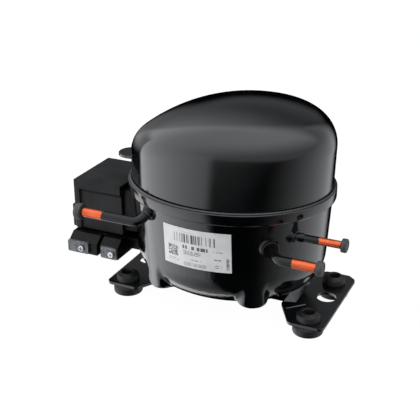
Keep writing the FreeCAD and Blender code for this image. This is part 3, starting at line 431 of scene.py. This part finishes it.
def inside_finishes():
    """Finishes of what the shell and the cover hide, by material slot."""
    steel = (0.42, 0.43, 0.44), (0.6, 0.61, 0.62)
    dark_plastic = (0.02, 0.02, 0.022), (0.04, 0.04, 0.042)
    return {
        "header_steel": metal("header_steel", (0.3, 0.31, 0.32), (0.5, 0.5, 0.5), (0.3, 0.45)),
        "seal_glass": plain_finish("seal_glass", (0.02, 0.09, 0.05), (0.05, 0.16, 0.10), (0.05, 0.14),
            400.0, 2500.0, 0.01),
        "pin_metal": metal("pin_metal", *steel, (0.18, 0.3), 2500.0, 0.01),
        "relay_plastic": plain_finish("relay_plastic", (0.55, 0.53, 0.47), (0.68, 0.66, 0.6), (0.4, 0.55),
            80.0, 2600.0, 0.03),
        "protector_case": plain_finish("protector_case", *dark_plastic, (0.3, 0.45), 90.0, 1800.0, 0.04),
        "lamination_steel": metal("lamination_steel", (0.09, 0.1, 0.12), (0.2, 0.21, 0.24), (0.35, 0.55),
            1800.0, 0.12, (0.02, 0.02, 1)),
        "enamelled_wire": plain_finish("enamelled_wire", (0.32, 0.07, 0.02), (0.62, 0.2, 0.07), (0.25, 0.4),
            200.0, 1500.0, 0.3, (0.3, 0.3, 1), Metallic=0.6),
        "zinc_steel": metal("zinc_steel", *steel, (0.22, 0.36), 2000.0, 0.015),
        "cage_aluminium": metal("cage_aluminium", (0.55, 0.56, 0.57), (0.74, 0.75, 0.76), (0.35, 0.5),
            700.0, 0.06),
        "cast_iron": metal("cast_iron", (0.1, 0.1, 0.105), (0.19, 0.19, 0.195), (0.5, 0.68), 1100.0, 0.12),
        "ground_steel": metal("ground_steel", *steel, (0.12, 0.22), 3000.0, 0.006, (1, 1, 0.1)),
        "gasket_fibre": plain_finish("gasket_fibre", (0.16, 0.15, 0.12), (0.28, 0.26, 0.21), (0.7, 0.85),
            300.0, 2600.0, 0.06),
        "reed_steel": metal("reed_steel", *steel, (0.1, 0.2), 2500.0, 0.004),
        "head_alloy": metal("head_alloy", (0.46, 0.47, 0.48), (0.62, 0.63, 0.64), (0.38, 0.52), 800.0, 0.07),
        "muffler_plastic": plain_finish("muffler_plastic", (0.5, 0.49, 0.44), (0.64, 0.62, 0.56), (0.4, 0.55),
            60.0, 1800.0, 0.04),
        "pipe_steel": metal("pipe_steel", *steel, (0.25, 0.4), 1800.0, 0.015),
        "spring_steel": metal("spring_steel", (0.2, 0.21, 0.22), (0.34, 0.35, 0.36), (0.25, 0.38),
            2200.0, 0.01),
        "seat_plastic": plain_finish("seat_plastic", (0.55, 0.54, 0.5), (0.7, 0.69, 0.64), (0.4, 0.55),
            110.0, 2200.0, 0.03),
        "connector_plastic": plain_finish("connector_plastic", (0.6, 0.58, 0.5), (0.75, 0.73, 0.64),
            (0.35, 0.5), 110.0, 2200.0, 0.03),
        "lead_insulation": plain_finish("lead_insulation", (0.03, 0.05, 0.22), (0.06, 0.09, 0.34),
            (0.4, 0.55), 200.0, 2500.0, 0.04),
        "pickup_steel": metal("pickup_steel", *steel, (0.2, 0.34), 2000.0, 0.012),
    }


def label_stock():
    """Pale label with a bar pattern, a square pattern and rows of meaningless strokes."""
    made = Finish("label_stock")
    uv = made.nodes.new("ShaderNodeUVMap")
    uv.uv_map = "label"
    split = made.nodes.new("ShaderNodeSeparateXYZ")
    made.wire(uv.outputs[0], split.inputs[0])
    u, v = split.outputs[0], split.outputs[1]

    def within(value, low, high):
        above = made.math("GREATER_THAN", value, low)
        return made.math("MULTIPLY", above, made.math("LESS_THAN", value, high))

    def area(left, right, low, high):
        return made.math("MULTIPLY", within(u, left, right), within(v, low, high))

    def cells(across, up, seed, filled):
        """Random cells: so many across and up the label, with that share filled."""
        spot = made.nodes.new("ShaderNodeCombineXYZ")
        made.wire(made.math("FLOOR", made.math("MULTIPLY", u, across)), spot.inputs[0])
        made.wire(made.math("FLOOR", made.math("MULTIPLY", v, up)), spot.inputs[1])
        spot.inputs[2].default_value = seed
        dice = made.nodes.new("ShaderNodeTexWhiteNoise")
        made.wire(spot.outputs[0], dice.inputs["Vector"])
        return made.math("LESS_THAN", dice.outputs["Value"], filled)

    def rows(left, right, low, high, count, across, ink):
        """Rows of short strokes that read as small print from afar."""
        pitch = (high - low) / count
        phase = made.math("FRACT", made.math("DIVIDE", made.math("SUBTRACT", v, low), pitch))
        print_rows = made.math("LESS_THAN", phase, 0.55)
        strokes = made.math("MULTIPLY", cells(across, 1.0 / pitch, count + left, 0.72), print_rows)
        return made.math("MULTIPLY", made.math("MULTIPLY", strokes, area(left, right, low, high)), ink)

    def code(left, right, low, high, across, up, seed, filled, ink):
        """A block of random cells; its edges are shares of the label."""
        shown = made.math("MULTIPLY", cells(across, up, seed, filled), area(left, right, low, high))
        return made.math("MULTIPLY", shown, ink)

    # Each mark: left, right, low and high edge, then its cells or rows, then how dark it is.
    marks = [
        code(0.17, 0.79, 0.63, 0.86, 112, 0.5, 3.0, 0.55, 0.97),
        code(0.075, 0.235, 0.235, 0.51, 94, 56, 11.0, 0.66, 0.95),
        code(0.31, 0.685, 0.48, 0.57, 74, 0.5, 8.0, 0.72, 0.92),
        rows(0.32, 0.58, 0.33, 0.45, 3, 110, 0.8),
        rows(0.32, 0.66, 0.05, 0.15, 3, 120, 0.75),
        rows(0.42, 0.60, 0.205, 0.245, 1, 70, 0.85),
        rows(0.07, 0.25, 0.11, 0.2, 2, 100, 0.55),
        rows(0.76, 0.89, 0.5, 0.54, 1, 110, 0.7),
        rows(0.77, 0.87, 0.295, 0.35, 1, 80, 0.85),
        rows(0.765, 0.875, 0.09, 0.2, 2, 90, 0.6),
        code(0.935, 0.972, 0.07, 0.37, 160, 70, 9.0, 0.75, 0.8),
        rows(0.30, 0.5, 0.895, 0.92, 1, 150, 0.5),
    ]
    ink = marks[0]
    for mark in marks[1:]:
        ink = made.math("MAXIMUM", ink, mark)
    stock = made.mix(made.span(made.noise(90.0, 4.0), 0.0, 1.0), (0.39, 0.39, 0.389), (0.44, 0.44, 0.439))
    made.paint(made.mix(ink, stock, (0.02, 0.02, 0.022)))
    made.gloss(made.span(made.noise(260.0), 0.32, 0.42))
    made.bump(made.noise(900.0), 0.01)
    return made.material


# ---------------------------------------------------------------- pressure shell

def oval(azimuth, half_x, half_y):
    """Distance from the axis to an ellipse at that azimuth."""
    return 1.0 / math.sqrt((math.cos(azimuth) / half_x) ** 2 + (math.sin(azimuth) / half_y) ** 2)


def dome_wall(azimuth, z, inset):
    """Upper shell's wall: distance from the axis."""
    share = (z - SEAM_Z) / UPPER_REACH
    return oval(azimuth, SEAM_X + UPPER_TAPER_X * share - inset, SEAM_Y + UPPER_TAPER_Y * share - inset)


def dome_section(azimuth, inset, steps):
    """Half section of the upper shell: straight wall, round shoulder, ball crown."""
    wall_steps, shoulder_steps, crown_steps = steps
    foot = Vector((dome_wall(azimuth, SEAM_Z, inset), SEAM_Z))
    head = SEAM_Z + 70
    up = (Vector((dome_wall(azimuth, head, inset), head)) - foot).normalized()
    inward = Vector((-up.y, up.x))
    radius = SHOULDER - inset
    ball = Vector((CROWN_X * math.cos(azimuth), CROWN_Z))
    reach = math.sqrt((CROWN_RADIUS - inset) ** 2 - (CROWN_X * math.sin(azimuth)) ** 2)
    start = foot + inward * radius - ball
    along = start.dot(up)
    travel = -along + math.sqrt(along * along - start.length_squared + (reach - radius) ** 2)
    centre = foot + inward * radius + up * travel
    lower = centre - inward * radius
    upper = ball + (centre - ball) * (reach / (reach - radius))
    section = [foot.lerp(lower, k / wall_steps) for k in range(wall_steps)]
    section += arc(centre, lower, upper, shoulder_steps)
    apex = Vector((0.0, ball.y + math.sqrt(reach * reach - ball.x * ball.x)))
    return section + arc(ball, upper, apex, crown_steps)[1:]


def arc(centre, start, end, steps):
    """Points of the arc about centre from start to end."""
    first, last = start - centre, end - centre
    angle = math.atan2(first.y, first.x)
    turn = math.atan2(first.x * last.y - first.y * last.x, first.dot(last))
    radius = first.length
    return [centre + Vector((math.cos(angle + turn * k / steps), math.sin(angle + turn * k / steps))) * radius
            for k in range(steps + 1)]


def revolve(section_at, count=AROUND):
    """Rings of the surface whose half section changes with the azimuth."""
    columns = []
    for k in range(count):
        azimuth = 2 * math.pi * k / count
        spoke = Vector((math.cos(azimuth), math.sin(azimuth), 0))
        columns.append([spoke * point[0] + Vector((0, 0, point[1])) for point in section_at(azimuth)])
    return [list(ring) for ring in zip(*columns)]


def upper_shell(material):
    """Domed upper half of the shell, with its true wall."""
    steps = (10, 26, 34)
    outside = revolve(lambda azimuth: dome_section(azimuth, 0.0, steps))
    inside = revolve(lambda azimuth: dome_section(azimuth, WALL, steps))
    mesh = new_mesh("upper_shell_enamel", *skin(outside + inside[::-1], wrap=True))
    return place("upper_shell_enamel", mesh, material, "upper_shell")


def bowl_radii(heights, inset):
    """Lower shell's distance from the axis by height and azimuth, its four spring pockets blended in."""
    azimuth = np.linspace(0, 2 * np.pi, AROUND, endpoint=False)[None, :]
    z = np.array(heights, float)[:, None]
    share = (z - BOWL_FLOOR) / (SEAM_Z - BOWL_FLOOR)
    half_x = BOWL_FOOT_X + (SEAM_X - BOWL_FOOT_X) * share - inset
    half_y = BOWL_FOOT_Y + (BOWL_MOUTH_Y - BOWL_FOOT_Y) * share - inset
    cos, sin = np.cos(azimuth), np.sin(azimuth)
    wall = 1.0 / np.sqrt((cos / half_x) ** 2 + (sin / half_y) ** 2)
    turn = BOWL_ROUND - inset
    low = np.clip(turn - (z - BOWL_FLOOR - inset), 0, turn)
    bowl = wall - (turn - np.sqrt(turn * turn - low * low))
    soft = POCKET_SOFT - inset * 0.5
    drop = np.clip(soft - (z - POCKET_FLOOR - inset), 0, None)
    sag = soft - np.sqrt(np.clip(soft**2 - drop**2, 0, None))
    nowhere = 99.0
    pocket = POCKET_RADIUS - inset - np.where(drop < soft, sag, nowhere)
    found = np.full(bowl.shape, np.nan)
    blend = 3.0
    farthest, nearest, step = 95.0, 20.0, 0.1
    for radius in np.arange(farthest, nearest, -step):
        x, y = radius * cos, radius * sin
        reach = np.hypot(np.abs(x) - POCKET_X, np.abs(y) - POCKET_Y) - pocket
        bulge = np.maximum(reach, radius - wall)
        body = radius - bowl
        mixed = np.clip(0.5 + 0.5 * (bulge - body) / blend, 0, 1)
        field = bulge + (body - bulge) * mixed - blend * mixed * (1 - mixed)
        found = np.where(np.isnan(found) & (field <= 0.0), radius, found)
    return np.minimum(found, wall)


def lower_shell(material):
    """Deep-drawn lower half with its belled rim and four spring pockets."""
    outer_rows, inner_rows, crowding = 110, 60, 1.25
    outer_reach = RIM_BASE - BOWL_FLOOR
    heights = [BOWL_FLOOR + outer_reach * (k / outer_rows) ** crowding for k in range(outer_rows + 1)]
    outer = bowl_radii(heights, 0.0)
    azimuths = [2 * math.pi * k / AROUND for k in range(AROUND)]

    def ring(radii, z):
        return [Vector((r * math.cos(a), r * math.sin(a), z)) for r, a in zip(radii, azimuths)]

    def oval_ring(half_x, half_y, z):
        return ring([oval(a, half_x, half_y) for a in azimuths], z)

    def rim_ring(inward, z):
        return oval_ring(RIM_X - inward, RIM_Y - inward, z)

    # Outside: floor, bowl and pockets, then the rim's bell and its lip.
    rings = [ring([r * share for r in outer[0]], BOWL_FLOOR) for share in (0.0, 0.3, 0.6, 0.85, 0.96)]
    rings += [ring(row, z) for row, z in zip(outer, heights)]
    for turn in range(7):
        angle = math.radians(15.0 * turn)
        inward = RIM_BELL - RIM_BELL * math.sin(angle)
        rings.append(rim_ring(inward, RIM_BASE + RIM_BELL - RIM_BELL * math.cos(angle)))
    for turn in range(6):
        angle = math.radians(18.0 * turn)
        inward = RIM_LIP - RIM_LIP * math.cos(angle)
        rings.append(rim_ring(inward, RIM_TOP - RIM_LIP + RIM_LIP * math.sin(angle)))
    rings.append(oval_ring(SEAM_X + 0.4, SEAM_Y + 0.1, RIM_TOP))
    rings.append(oval_ring(SEAM_X + 0.1, SEAM_Y + 0.1, SEAM_Z))

    # Inside, from the seam down to the floor.
    inner_floor = BOWL_FLOOR + WALL
    inner_reach = SEAM_Z - inner_floor
    inner_heights = [inner_floor + inner_reach * (1 - k / inner_rows) ** crowding
                     for k in range(inner_rows + 1)]
    inner = bowl_radii(inner_heights, WALL)
    rings += [ring(row, z) for row, z in zip(inner, inner_heights)]
    rings += [ring([r * share for r in inner[-1]], inner_floor) for share in (0.6, 0.0)]
    mesh = new_mesh("lower_shell_enamel", *skin(rings))
    return place("lower_shell_enamel", mesh, material, "lower_shell")


def seam_weld(material):
    """Rippled weld bead between the rim and the upper shell."""
    count = 900
    sides = 10
    bead_width, bead_height = 1.35, 1.25

    def at(azimuth, half_x, half_y, z):
        reach = oval(azimuth, half_x, half_y)
        return Vector((reach * math.cos(azimuth), reach * math.sin(azimuth), z))

    rings = []
    for k in range(sides + 1):
        angle = math.radians(-10 + 120.0 * k / sides)
        ring = []
        for column in range(count):
            azimuth = 2 * math.pi * column / count
            ripple = 0.10 * math.sin(azimuth * 170) + 0.05 * math.sin(azimuth * 61 + 1.0)
            reach = (bead_width + ripple) * math.cos(angle)
            rise = (bead_height + ripple) * math.sin(angle)
            ring.append(at(azimuth, SEAM_X + 0.9 + reach, SEAM_Y + 0.5 + reach, RIM_TOP + 0.1 + rise))
        rings.append(ring)
    base = []
    for column in range(count):
        azimuth = 2 * math.pi * column / count
        base.append(at(azimuth, SEAM_X - 0.6, SEAM_Y - 0.6, RIM_TOP - 0.3))
    rings.append(base)
    mesh = new_mesh("seam_weld_bead", *skin(rings, wrap=True))
    return place("seam_weld_bead", mesh, material, "seam_weld")


def rating_label(material):
    """Thin label laid over the front wall."""
    low, high = extent("rating_label")
    across, up = 72, 36
    thickness, gap = 0.28, 0.03

    def point(i, k, lift):
        x = low.x + (high.x - low.x) * i / across
        z = low.z + (high.z - low.z) * k / up
        share = (z - BOWL_FLOOR) / (SEAM_Z - BOWL_FLOOR)
        half_x = BOWL_FOOT_X + (SEAM_X - BOWL_FOOT_X) * share + lift
        half_y = BOWL_FOOT_Y + (BOWL_MOUTH_Y - BOWL_FOOT_Y) * share + lift
        return Vector((x, -half_y * math.sqrt(1 - (x / half_x) ** 2), z))

    mesh = bpy.data.meshes.new("rating_label_sheet")
    points = [point(i, k, lift) * MM
              for lift in (thickness, gap) for k in range(up + 1) for i in range(across + 1)]
    row = across + 1
    layer = row * (up + 1)
    faces = []
    for k in range(up):
        for i in range(across):
            a = k * row + i
            faces.append((a, a + 1, a + row + 1, a + row))
            faces.append((layer + a, layer + a + row, layer + a + row + 1, layer + a + 1))
    for i in range(across):
        top = up * row + i
        faces.append((i, layer + i, layer + i + 1, i + 1))
        faces.append((top, top + 1, layer + top + 1, layer + top))
    for k in range(up):
        left, right = k * row, k * row + across
        faces.append((left, left + row, layer + left + row, layer + left))
        faces.append((right, layer + right, layer + right + row, right + row))
    mesh.from_pydata(points, [], faces)
    uv = mesh.uv_layers.new(name="label")
    width, height = (high.x - low.x) * MM, (high.z - low.z) * MM
    for loop in mesh.loops:
        spot = mesh.vertices[loop.vertex_index].co
        uv.data[loop.index].uv = ((spot.x - low.x * MM) / width, (spot.z - low.z * MM) / height)
    mesh.shade_smooth()
    mesh.set_sharp_from_angle(angle=math.radians(40))
    return place("rating_label_sheet", mesh, material, "rating_label")


# ---------------------------------------------------------------- tubes

def tube_piece(name, points, faces, bare_from, material, node):
    """Tube whose far end is bare metal; bare_from is the x where its enamel stops."""
    mesh = new_mesh(name, points, faces)
    fade = 6.0
    bare = mesh.attributes.new("bare", "FLOAT", "POINT")
    side = 1 if bare_from > 0 else -1
    for i, vertex in enumerate(mesh.vertices):
        bare.data[i].value = min(1.0, max(0.0, 0.5 + side * (vertex.co.x / MM - bare_from) / fade))
    return place(name, mesh, material, node)


def bent_tube(corners, bend, outer):
    """Points and faces of a tube with round bends."""
    path = soften([(corner, bend) for corner in corners], closed=False, steps=14)
    return sweep(resample(path, 1.2), (outer, outer - TUBE_WALL))


def resample(path, pitch):
    """The path again with points no further apart than pitch."""
    out = [path[0]]
    for start, end in zip(path, path[1:]):
        steps = max(1, math.ceil((end - start).length / pitch))
        out += [start.lerp(end, k / steps) for k in range(1, steps + 1)]
    return out


def refrigerant_tubes(material):
    """Suction, process and discharge tubes."""
    low, high = extent("suction_tube")
    middle_y = low.y + TUBE_RADIUS
    z = SUCTION_ROOT[2]
    suction = bent_tube([SUCTION_ROOT, (70.0, middle_y, z), (high.x, middle_y, z)], 10.0, TUBE_RADIUS)
    tube_piece("suction_tube_copper", *suction, 82.6, material, "suction_tube")

    low, high = extent("process_tube")
    middle_y = low.y + TUBE_RADIUS
    z = low.z + TUBE_RADIUS
    process = bent_tube([PROCESS_ROOT, (-53.0, middle_y, z), (low.x, middle_y, z)], 9.0, TUBE_RADIUS)
    tube_piece("process_tube_copper", *process, -86.0, material, "process_tube")

    low, high = extent("discharge_tube")
    middle = (low + high) / 2
    root = (high.z - low.z) / 2
    length = high.x - low.x
    bore = THIN_RADIUS - TUBE_WALL
    root_length, shoulder = 14.0, 0.6
    rows = 24
    profile = [(bore, 0.0), (root, 0.0), (root, root_length - shoulder), (THIN_RADIUS, root_length)]
    profile += [(THIN_RADIUS, root_length + (length - root_length) * (k + 1) / rows) for k in range(rows)]
    profile.append((bore, length))
    discharge = lathe((low.x, middle.y, middle.z), (1, 0, 0), profile, 40, wrap=True)
    tube_piece("discharge_tube_copper", *discharge, 93.0, material, "discharge_tube")


def tube_collars(material):
    """Flared collars where the tubes leave the shell."""
    discharge_low, discharge_high = extent("discharge_tube")
    discharge = (discharge_low + discharge_high) / 2
    discharge_root = (discharge_low.x - 1.0, discharge.y, discharge.z)
    collars = (
        (SUCTION_ROOT, SUCTION_AIM, 9.0, 7.0, 8.6),
        (discharge_root, (1.0, 0.0, 0.0), 6.5, 4.8, 9.5),
        (PROCESS_ROOT, PROCESS_AIM, 7.0, 5.2, 6.5),
    )
    parts = []
    for start, aim, base, neck, length in collars:
        bore = neck * 0.5
        profile = soften([((bore, 0.0), 0), ((base, 0.0), 0), ((base - 0.4, length * 0.45), 1.5),
                          ((neck, length * 0.7), 1.0), ((neck, length), 0.9), ((bore, length), 0)])
        parts.append(lathe(start, aim, profile, 56, wrap=True))
    mesh = new_mesh("tube_collars_enamel", *joined(*parts))
    mesh.set_sharp_from_angle(angle=math.radians(40))
    return place("tube_collars_enamel", mesh, material, "tube_collars")


def shipping_plug(node, tube_radius, aim, material):
    """Rubber plug with a dished, ringed flange and a stem in the tube."""
    stem = 10.0
    dish = 0.5
    low, high = extent(node)
    middle = (low + high) / 2
    flange = (high.y - low.y) / 2
    thick = (high.x - low.x) - stem
    start = (high.x - thick) if aim > 0 else (low.x + thick)
    radius = tube_radius - TUBE_WALL - 0.05
    corners = [((0.0, -stem), 0), ((radius, -stem), 0.8), ((radius, 0.0), 0), ((flange, 0.0), 0.7),
               ((flange, thick), 1.1), ((flange * 0.72, thick), 0.3), ((flange * 0.66, thick - dish), 0.3),
               ((0.0, thick - dish), 0)]
    profile = soften(corners, closed=False, steps=4)
    mesh = new_mesh(node + "_rubber", *lathe((start, middle.y, middle.z), (aim, 0, 0), profile, 56))
    mesh.set_sharp_from_angle(angle=math.radians(50))
    return place(node + "_rubber", mesh, material, node)


# ---------------------------------------------------------------- feet

def grommets(material):
    """Four rubber feet with a groove for the plate, a crowned cap and a through bore."""
    low, high = extent("mounting_grommets")
    foot = 13.0
    bore = 4.75
    parts = []
    for x in (low.x + foot, high.x - foot):
        for y in (low.y + foot, high.y - foot):
            corners = [((bore, 0.0), 0.6), ((bore + 2.6, 0.0), 0.4), ((bore + 3.2, 0.7), 0.4),
                       ((foot - 2.2, 0.7), 0.4), ((foot - 1.6, 0.0), 0.3), ((foot - 0.5, 0.0), 0.4),
                       ((foot, 1.6), 0.5), ((foot, 6.4), 1.3),
                       ((foot - 1.6, 8.2), 0.8), ((8.9, 8.2), 0), ((8.9, 10.7), 0), ((9.9, 10.7), 0.4),
                       ((10.25, 12.4), 0.8), ((9.5, 16.6), 1.8), ((7.2, 18.0), 1.2), ((6.4, high.z), 0.5),
                       ((bore + 0.5, high.z), 0.45), ((bore, 17.4), 0.3)]
            parts.append(lathe((x, y, 0.0), (0, 0, 1), soften(corners, steps=4), 72, wrap=True))
    mesh = new_mesh("mounting_grommets_rubber", *joined(*parts))
    mesh.set_sharp_from_angle(angle=math.radians(50))
    return place("mounting_grommets_rubber", mesh, material, "mounting_grommets")


# ---------------------------------------------------------------- stage

def world_light():
    """Soft studio light as the object sees it: bright overhead and left, dim right, dark elsewhere."""
    world = bpy.data.worlds.new("studio")
    bpy.context.scene.world = world
    world.use_nodes = True
    tree = world.node_tree
    nodes, links = tree.nodes, tree.links
    nodes.clear()

    def math_node(operation, *values):
        node = nodes.new("ShaderNodeMath")
        node.operation = operation
        for i, value in enumerate(values):
            if isinstance(value, bpy.types.NodeSocket):
                links.new(value, node.inputs[i])
            else:
                node.inputs[i].default_value = value
        return node.outputs[0]

    def ramp(value, start, end, low=0.0, high=1.0):
        node = nodes.new("ShaderNodeMapRange")
        node.interpolation_type = "SMOOTHSTEP"
        links.new(value, node.inputs["Value"])
        for socket, number in (("From Min", start), ("From Max", end), ("To Min", low), ("To Max", high)):
            node.inputs[socket].default_value = number
        return node.outputs[0]

    split = nodes.new("ShaderNodeSeparateXYZ")
    links.new(nodes.new("ShaderNodeTexCoord").outputs["Generated"], split.inputs[0])
    x, y, z = split.outputs
    azimuth = math_node("ARCTAN2", x, math_node("MULTIPLY", y, -1.0))

    def around(start, end, low=0.0, high=1.0):
        """Ramp between two azimuths in degrees; 0 is towards -Y, positive towards +X."""
        return ramp(azimuth, math.radians(start), math.radians(end), low, high)

    def blend(share, first, second):
        kept = math_node("MULTIPLY", first, math_node("SUBTRACT", 1.0, share))
        return math_node("ADD", kept, math_node("MULTIPLY", second, share))

    # Overhead light that fades out at the horizon in front and towards the back.
    front = math_node("ADD", ramp(z, -0.26, 0.02, 0.0, 0.9), ramp(z, 0.1, 0.95, 0.0, 1.95))
    overhead = math_node("MINIMUM", front, ramp(y, 0.1, 0.8, 2.75, 0.24))
    behind = math_node("MAXIMUM", around(-148, -140, 1.0, 0.0), around(150, 172))
    shade = math_node("MULTIPLY", behind, ramp(z, 0.15, 0.4, 1.0, 0.0))
    base = math_node("MULTIPLY", overhead, math_node("SUBTRACT", 1.0, shade))

    # A tall soft box on the left: its edges are sharp low down and soft high up.
    rear_edge = blend(ramp(z, 0.2, 0.36), around(-98.5, -95.5), around(-140, -94))
    front_edge = blend(ramp(z, -0.05, 0.3), around(-16, -5, 1.0, 0.0), around(-50, 60, 1.0, 0.0))
    box = math_node("MULTIPLY", math_node("MULTIPLY", rear_edge, front_edge), around(-70, 10, 1.0, 0.35))
    box = math_node("MULTIPLY", box, ramp(y, 0.3, 0.85, 1.0, 0.25))
    box = math_node("MULTIPLY", box, ramp(z, -0.95, -0.4, 0.2, 1.0))
    box_level = ramp(z, -0.7, 0.35, 3.3, 2.5)
    with_box = blend(box, base, box_level)

    # The pale floor under its rear edge, and a dimmer panel on the right.
    below = math_node("MULTIPLY", around(-140, -118), around(-99, -94, 1.0, 0.0))
    below = math_node("MULTIPLY", below, ramp(z, -0.40, -0.34, 2.2, 0.0))
    panel = math_node("MULTIPLY", around(35, 125), around(150, 172, 1.0, 0.0))
    panel = math_node("MULTIPLY", panel, ramp(z, -0.1, 0.45, 1.5, 0.95))
    strength = math_node("MAXIMUM", with_box, math_node("MAXIMUM", panel, below))

    seen = nodes.new("ShaderNodeBackground")
    seen.inputs[0].default_value = (1, 1, 1, 1)
    lit = nodes.new("ShaderNodeBackground")
    lit.inputs[0].default_value = (0.97, 0.985, 1.015, 1)
    links.new(strength, lit.inputs[1])
    choose = nodes.new("ShaderNodeMixShader")
    links.new(nodes.new("ShaderNodeLightPath").outputs["Is Camera Ray"], choose.inputs[0])
    links.new(lit.outputs[0], choose.inputs[1])
    links.new(seen.outputs[0], choose.inputs[2])
    output = nodes.new("ShaderNodeOutputWorld")
    links.new(choose.outputs[0], output.inputs[0])


def floor():
    """Pale floor that only the camera sees."""
    side = 30.0
    mesh = bpy.data.meshes.new("floor")
    corners = [(-side, -side, 0), (side, -side, 0), (side, side, 0), (-side, side, 0)]
    mesh.from_pydata(corners, [], [(0, 1, 2, 3)])
    item = bpy.data.objects.new("floor", mesh)
    bpy.context.scene.collection.objects.link(item)
    material = bpy.data.materials.new("floor")
    material.use_nodes = True
    nodes, links = material.node_tree.nodes, material.node_tree.links
    nodes.clear()
    glow = nodes.new("ShaderNodeEmission")
    glow.inputs[0].default_value = (1, 1, 1, 1)
    glow.inputs[1].default_value = 0.975
    matte = nodes.new("ShaderNodeBsdfDiffuse")
    matte.inputs[0].default_value = (0.03, 0.03, 0.03, 1)
    both = nodes.new("ShaderNodeAddShader")
    links.new(glow.outputs[0], both.inputs[0])
    links.new(matte.outputs[0], both.inputs[1])
    links.new(both.outputs[0], nodes.new("ShaderNodeOutputMaterial").inputs[0])
    mesh.materials.append(material)
    item.visible_diffuse = False
    item.visible_glossy = False
    item.visible_transmission = False
    item.visible_shadow = False


def camera():
    """Camera at the reference view: from the front right, a little above."""
    data = bpy.data.cameras.new("camera")
    data.lens = 76.0
    data.sensor_width = 36.0
    data.clip_start, data.clip_end = 0.01, 100.0
    item = bpy.data.objects.new("camera", data)
    bpy.context.scene.collection.objects.link(item)
    right = Vector((0.9087, 0.4174, 0.0)).normalized()
    forward = Vector((-0.3821, 0.8320, -0.4023)).normalized()
    up = right.cross(forward).normalized()
    turn = Matrix((right, up, -forward)).transposed().to_4x4()
    item.matrix_world = Matrix.Translation((0.2758, -0.6446, 0.3880)) @ turn
    bpy.context.scene.camera = item


# ---------------------------------------------------------------- assembly

def outside():
    """Every piece that shows from outside."""
    gloss = enamel()
    satin = plate_paint()
    rubber = moulded_rubber()
    grey = plug_rubber()
    bare = copper()
    box_plastic = shell_plastic()
    # block plastic: black, with its colour darkened further as painted shade between the cover and the shell
    dark_plastic = block_plastic()
    dull = clamp_metal()
    chrome = metal("screw_chrome", (0.26, 0.27, 0.28), (0.40, 0.41, 0.42), (0.16, 0.26), 2500.0, 0.008)

    upper_shell(gloss)
    lower_shell(gloss)
    seam_weld(weld_bead())
    refine("shell_ear", "shell_ear_tab", gloss, 0.4)
    rating_label(label_stock())
    refrigerant_tubes(bare)
    tube_collars(collar_enamel())
    shipping_plug("suction_plug", TUBE_RADIUS, 1, grey)
    shipping_plug("discharge_plug", THIN_RADIUS, 1, grey)
    shipping_plug("process_plug", TUBE_RADIUS, -1, grey)
    refine("mounting_plate_right", "mounting_plate_right_sheet", satin, 0.45)
    refine("mounting_plate_left", "mounting_plate_left_sheet", satin, 0.45)
    grommets(rubber)
    refine("electrical_cover", "electrical_cover_moulding", box_plastic, 0.8)
    refine("terminal_fence", "terminal_fence_moulding", dark_plastic, 0.3)
    refine("terminal_block", "terminal_block_moulding", dark_plastic, 0.7)
    refine("block_bracket", "block_bracket_strap", dark_plastic, 0.5)
    for side in ("left", "right"):
        refine(f"wire_clamp_{side}", f"wire_clamp_{side}_plate", dull, 0.3)
        refine(f"clamp_screw_{side}", f"clamp_screw_{side}_chrome", chrome, 0.08)


def inside():
    """Finishes for the CAD nodes that the shell and the cover hide."""
    finishes = inside_finishes()
    for name, item in frame["nodes"].items():
        if item.hide_render:
            continue
        item.data.materials.clear()
        item.data.materials.append(finishes[SLOTS[name]])
        item.data.shade_smooth()
        item.data.set_sharp_from_angle(angle=math.radians(35))


bpy.context.scene.view_settings.view_transform = "Standard"
world_light()
floor()
camera()
outside()
inside()
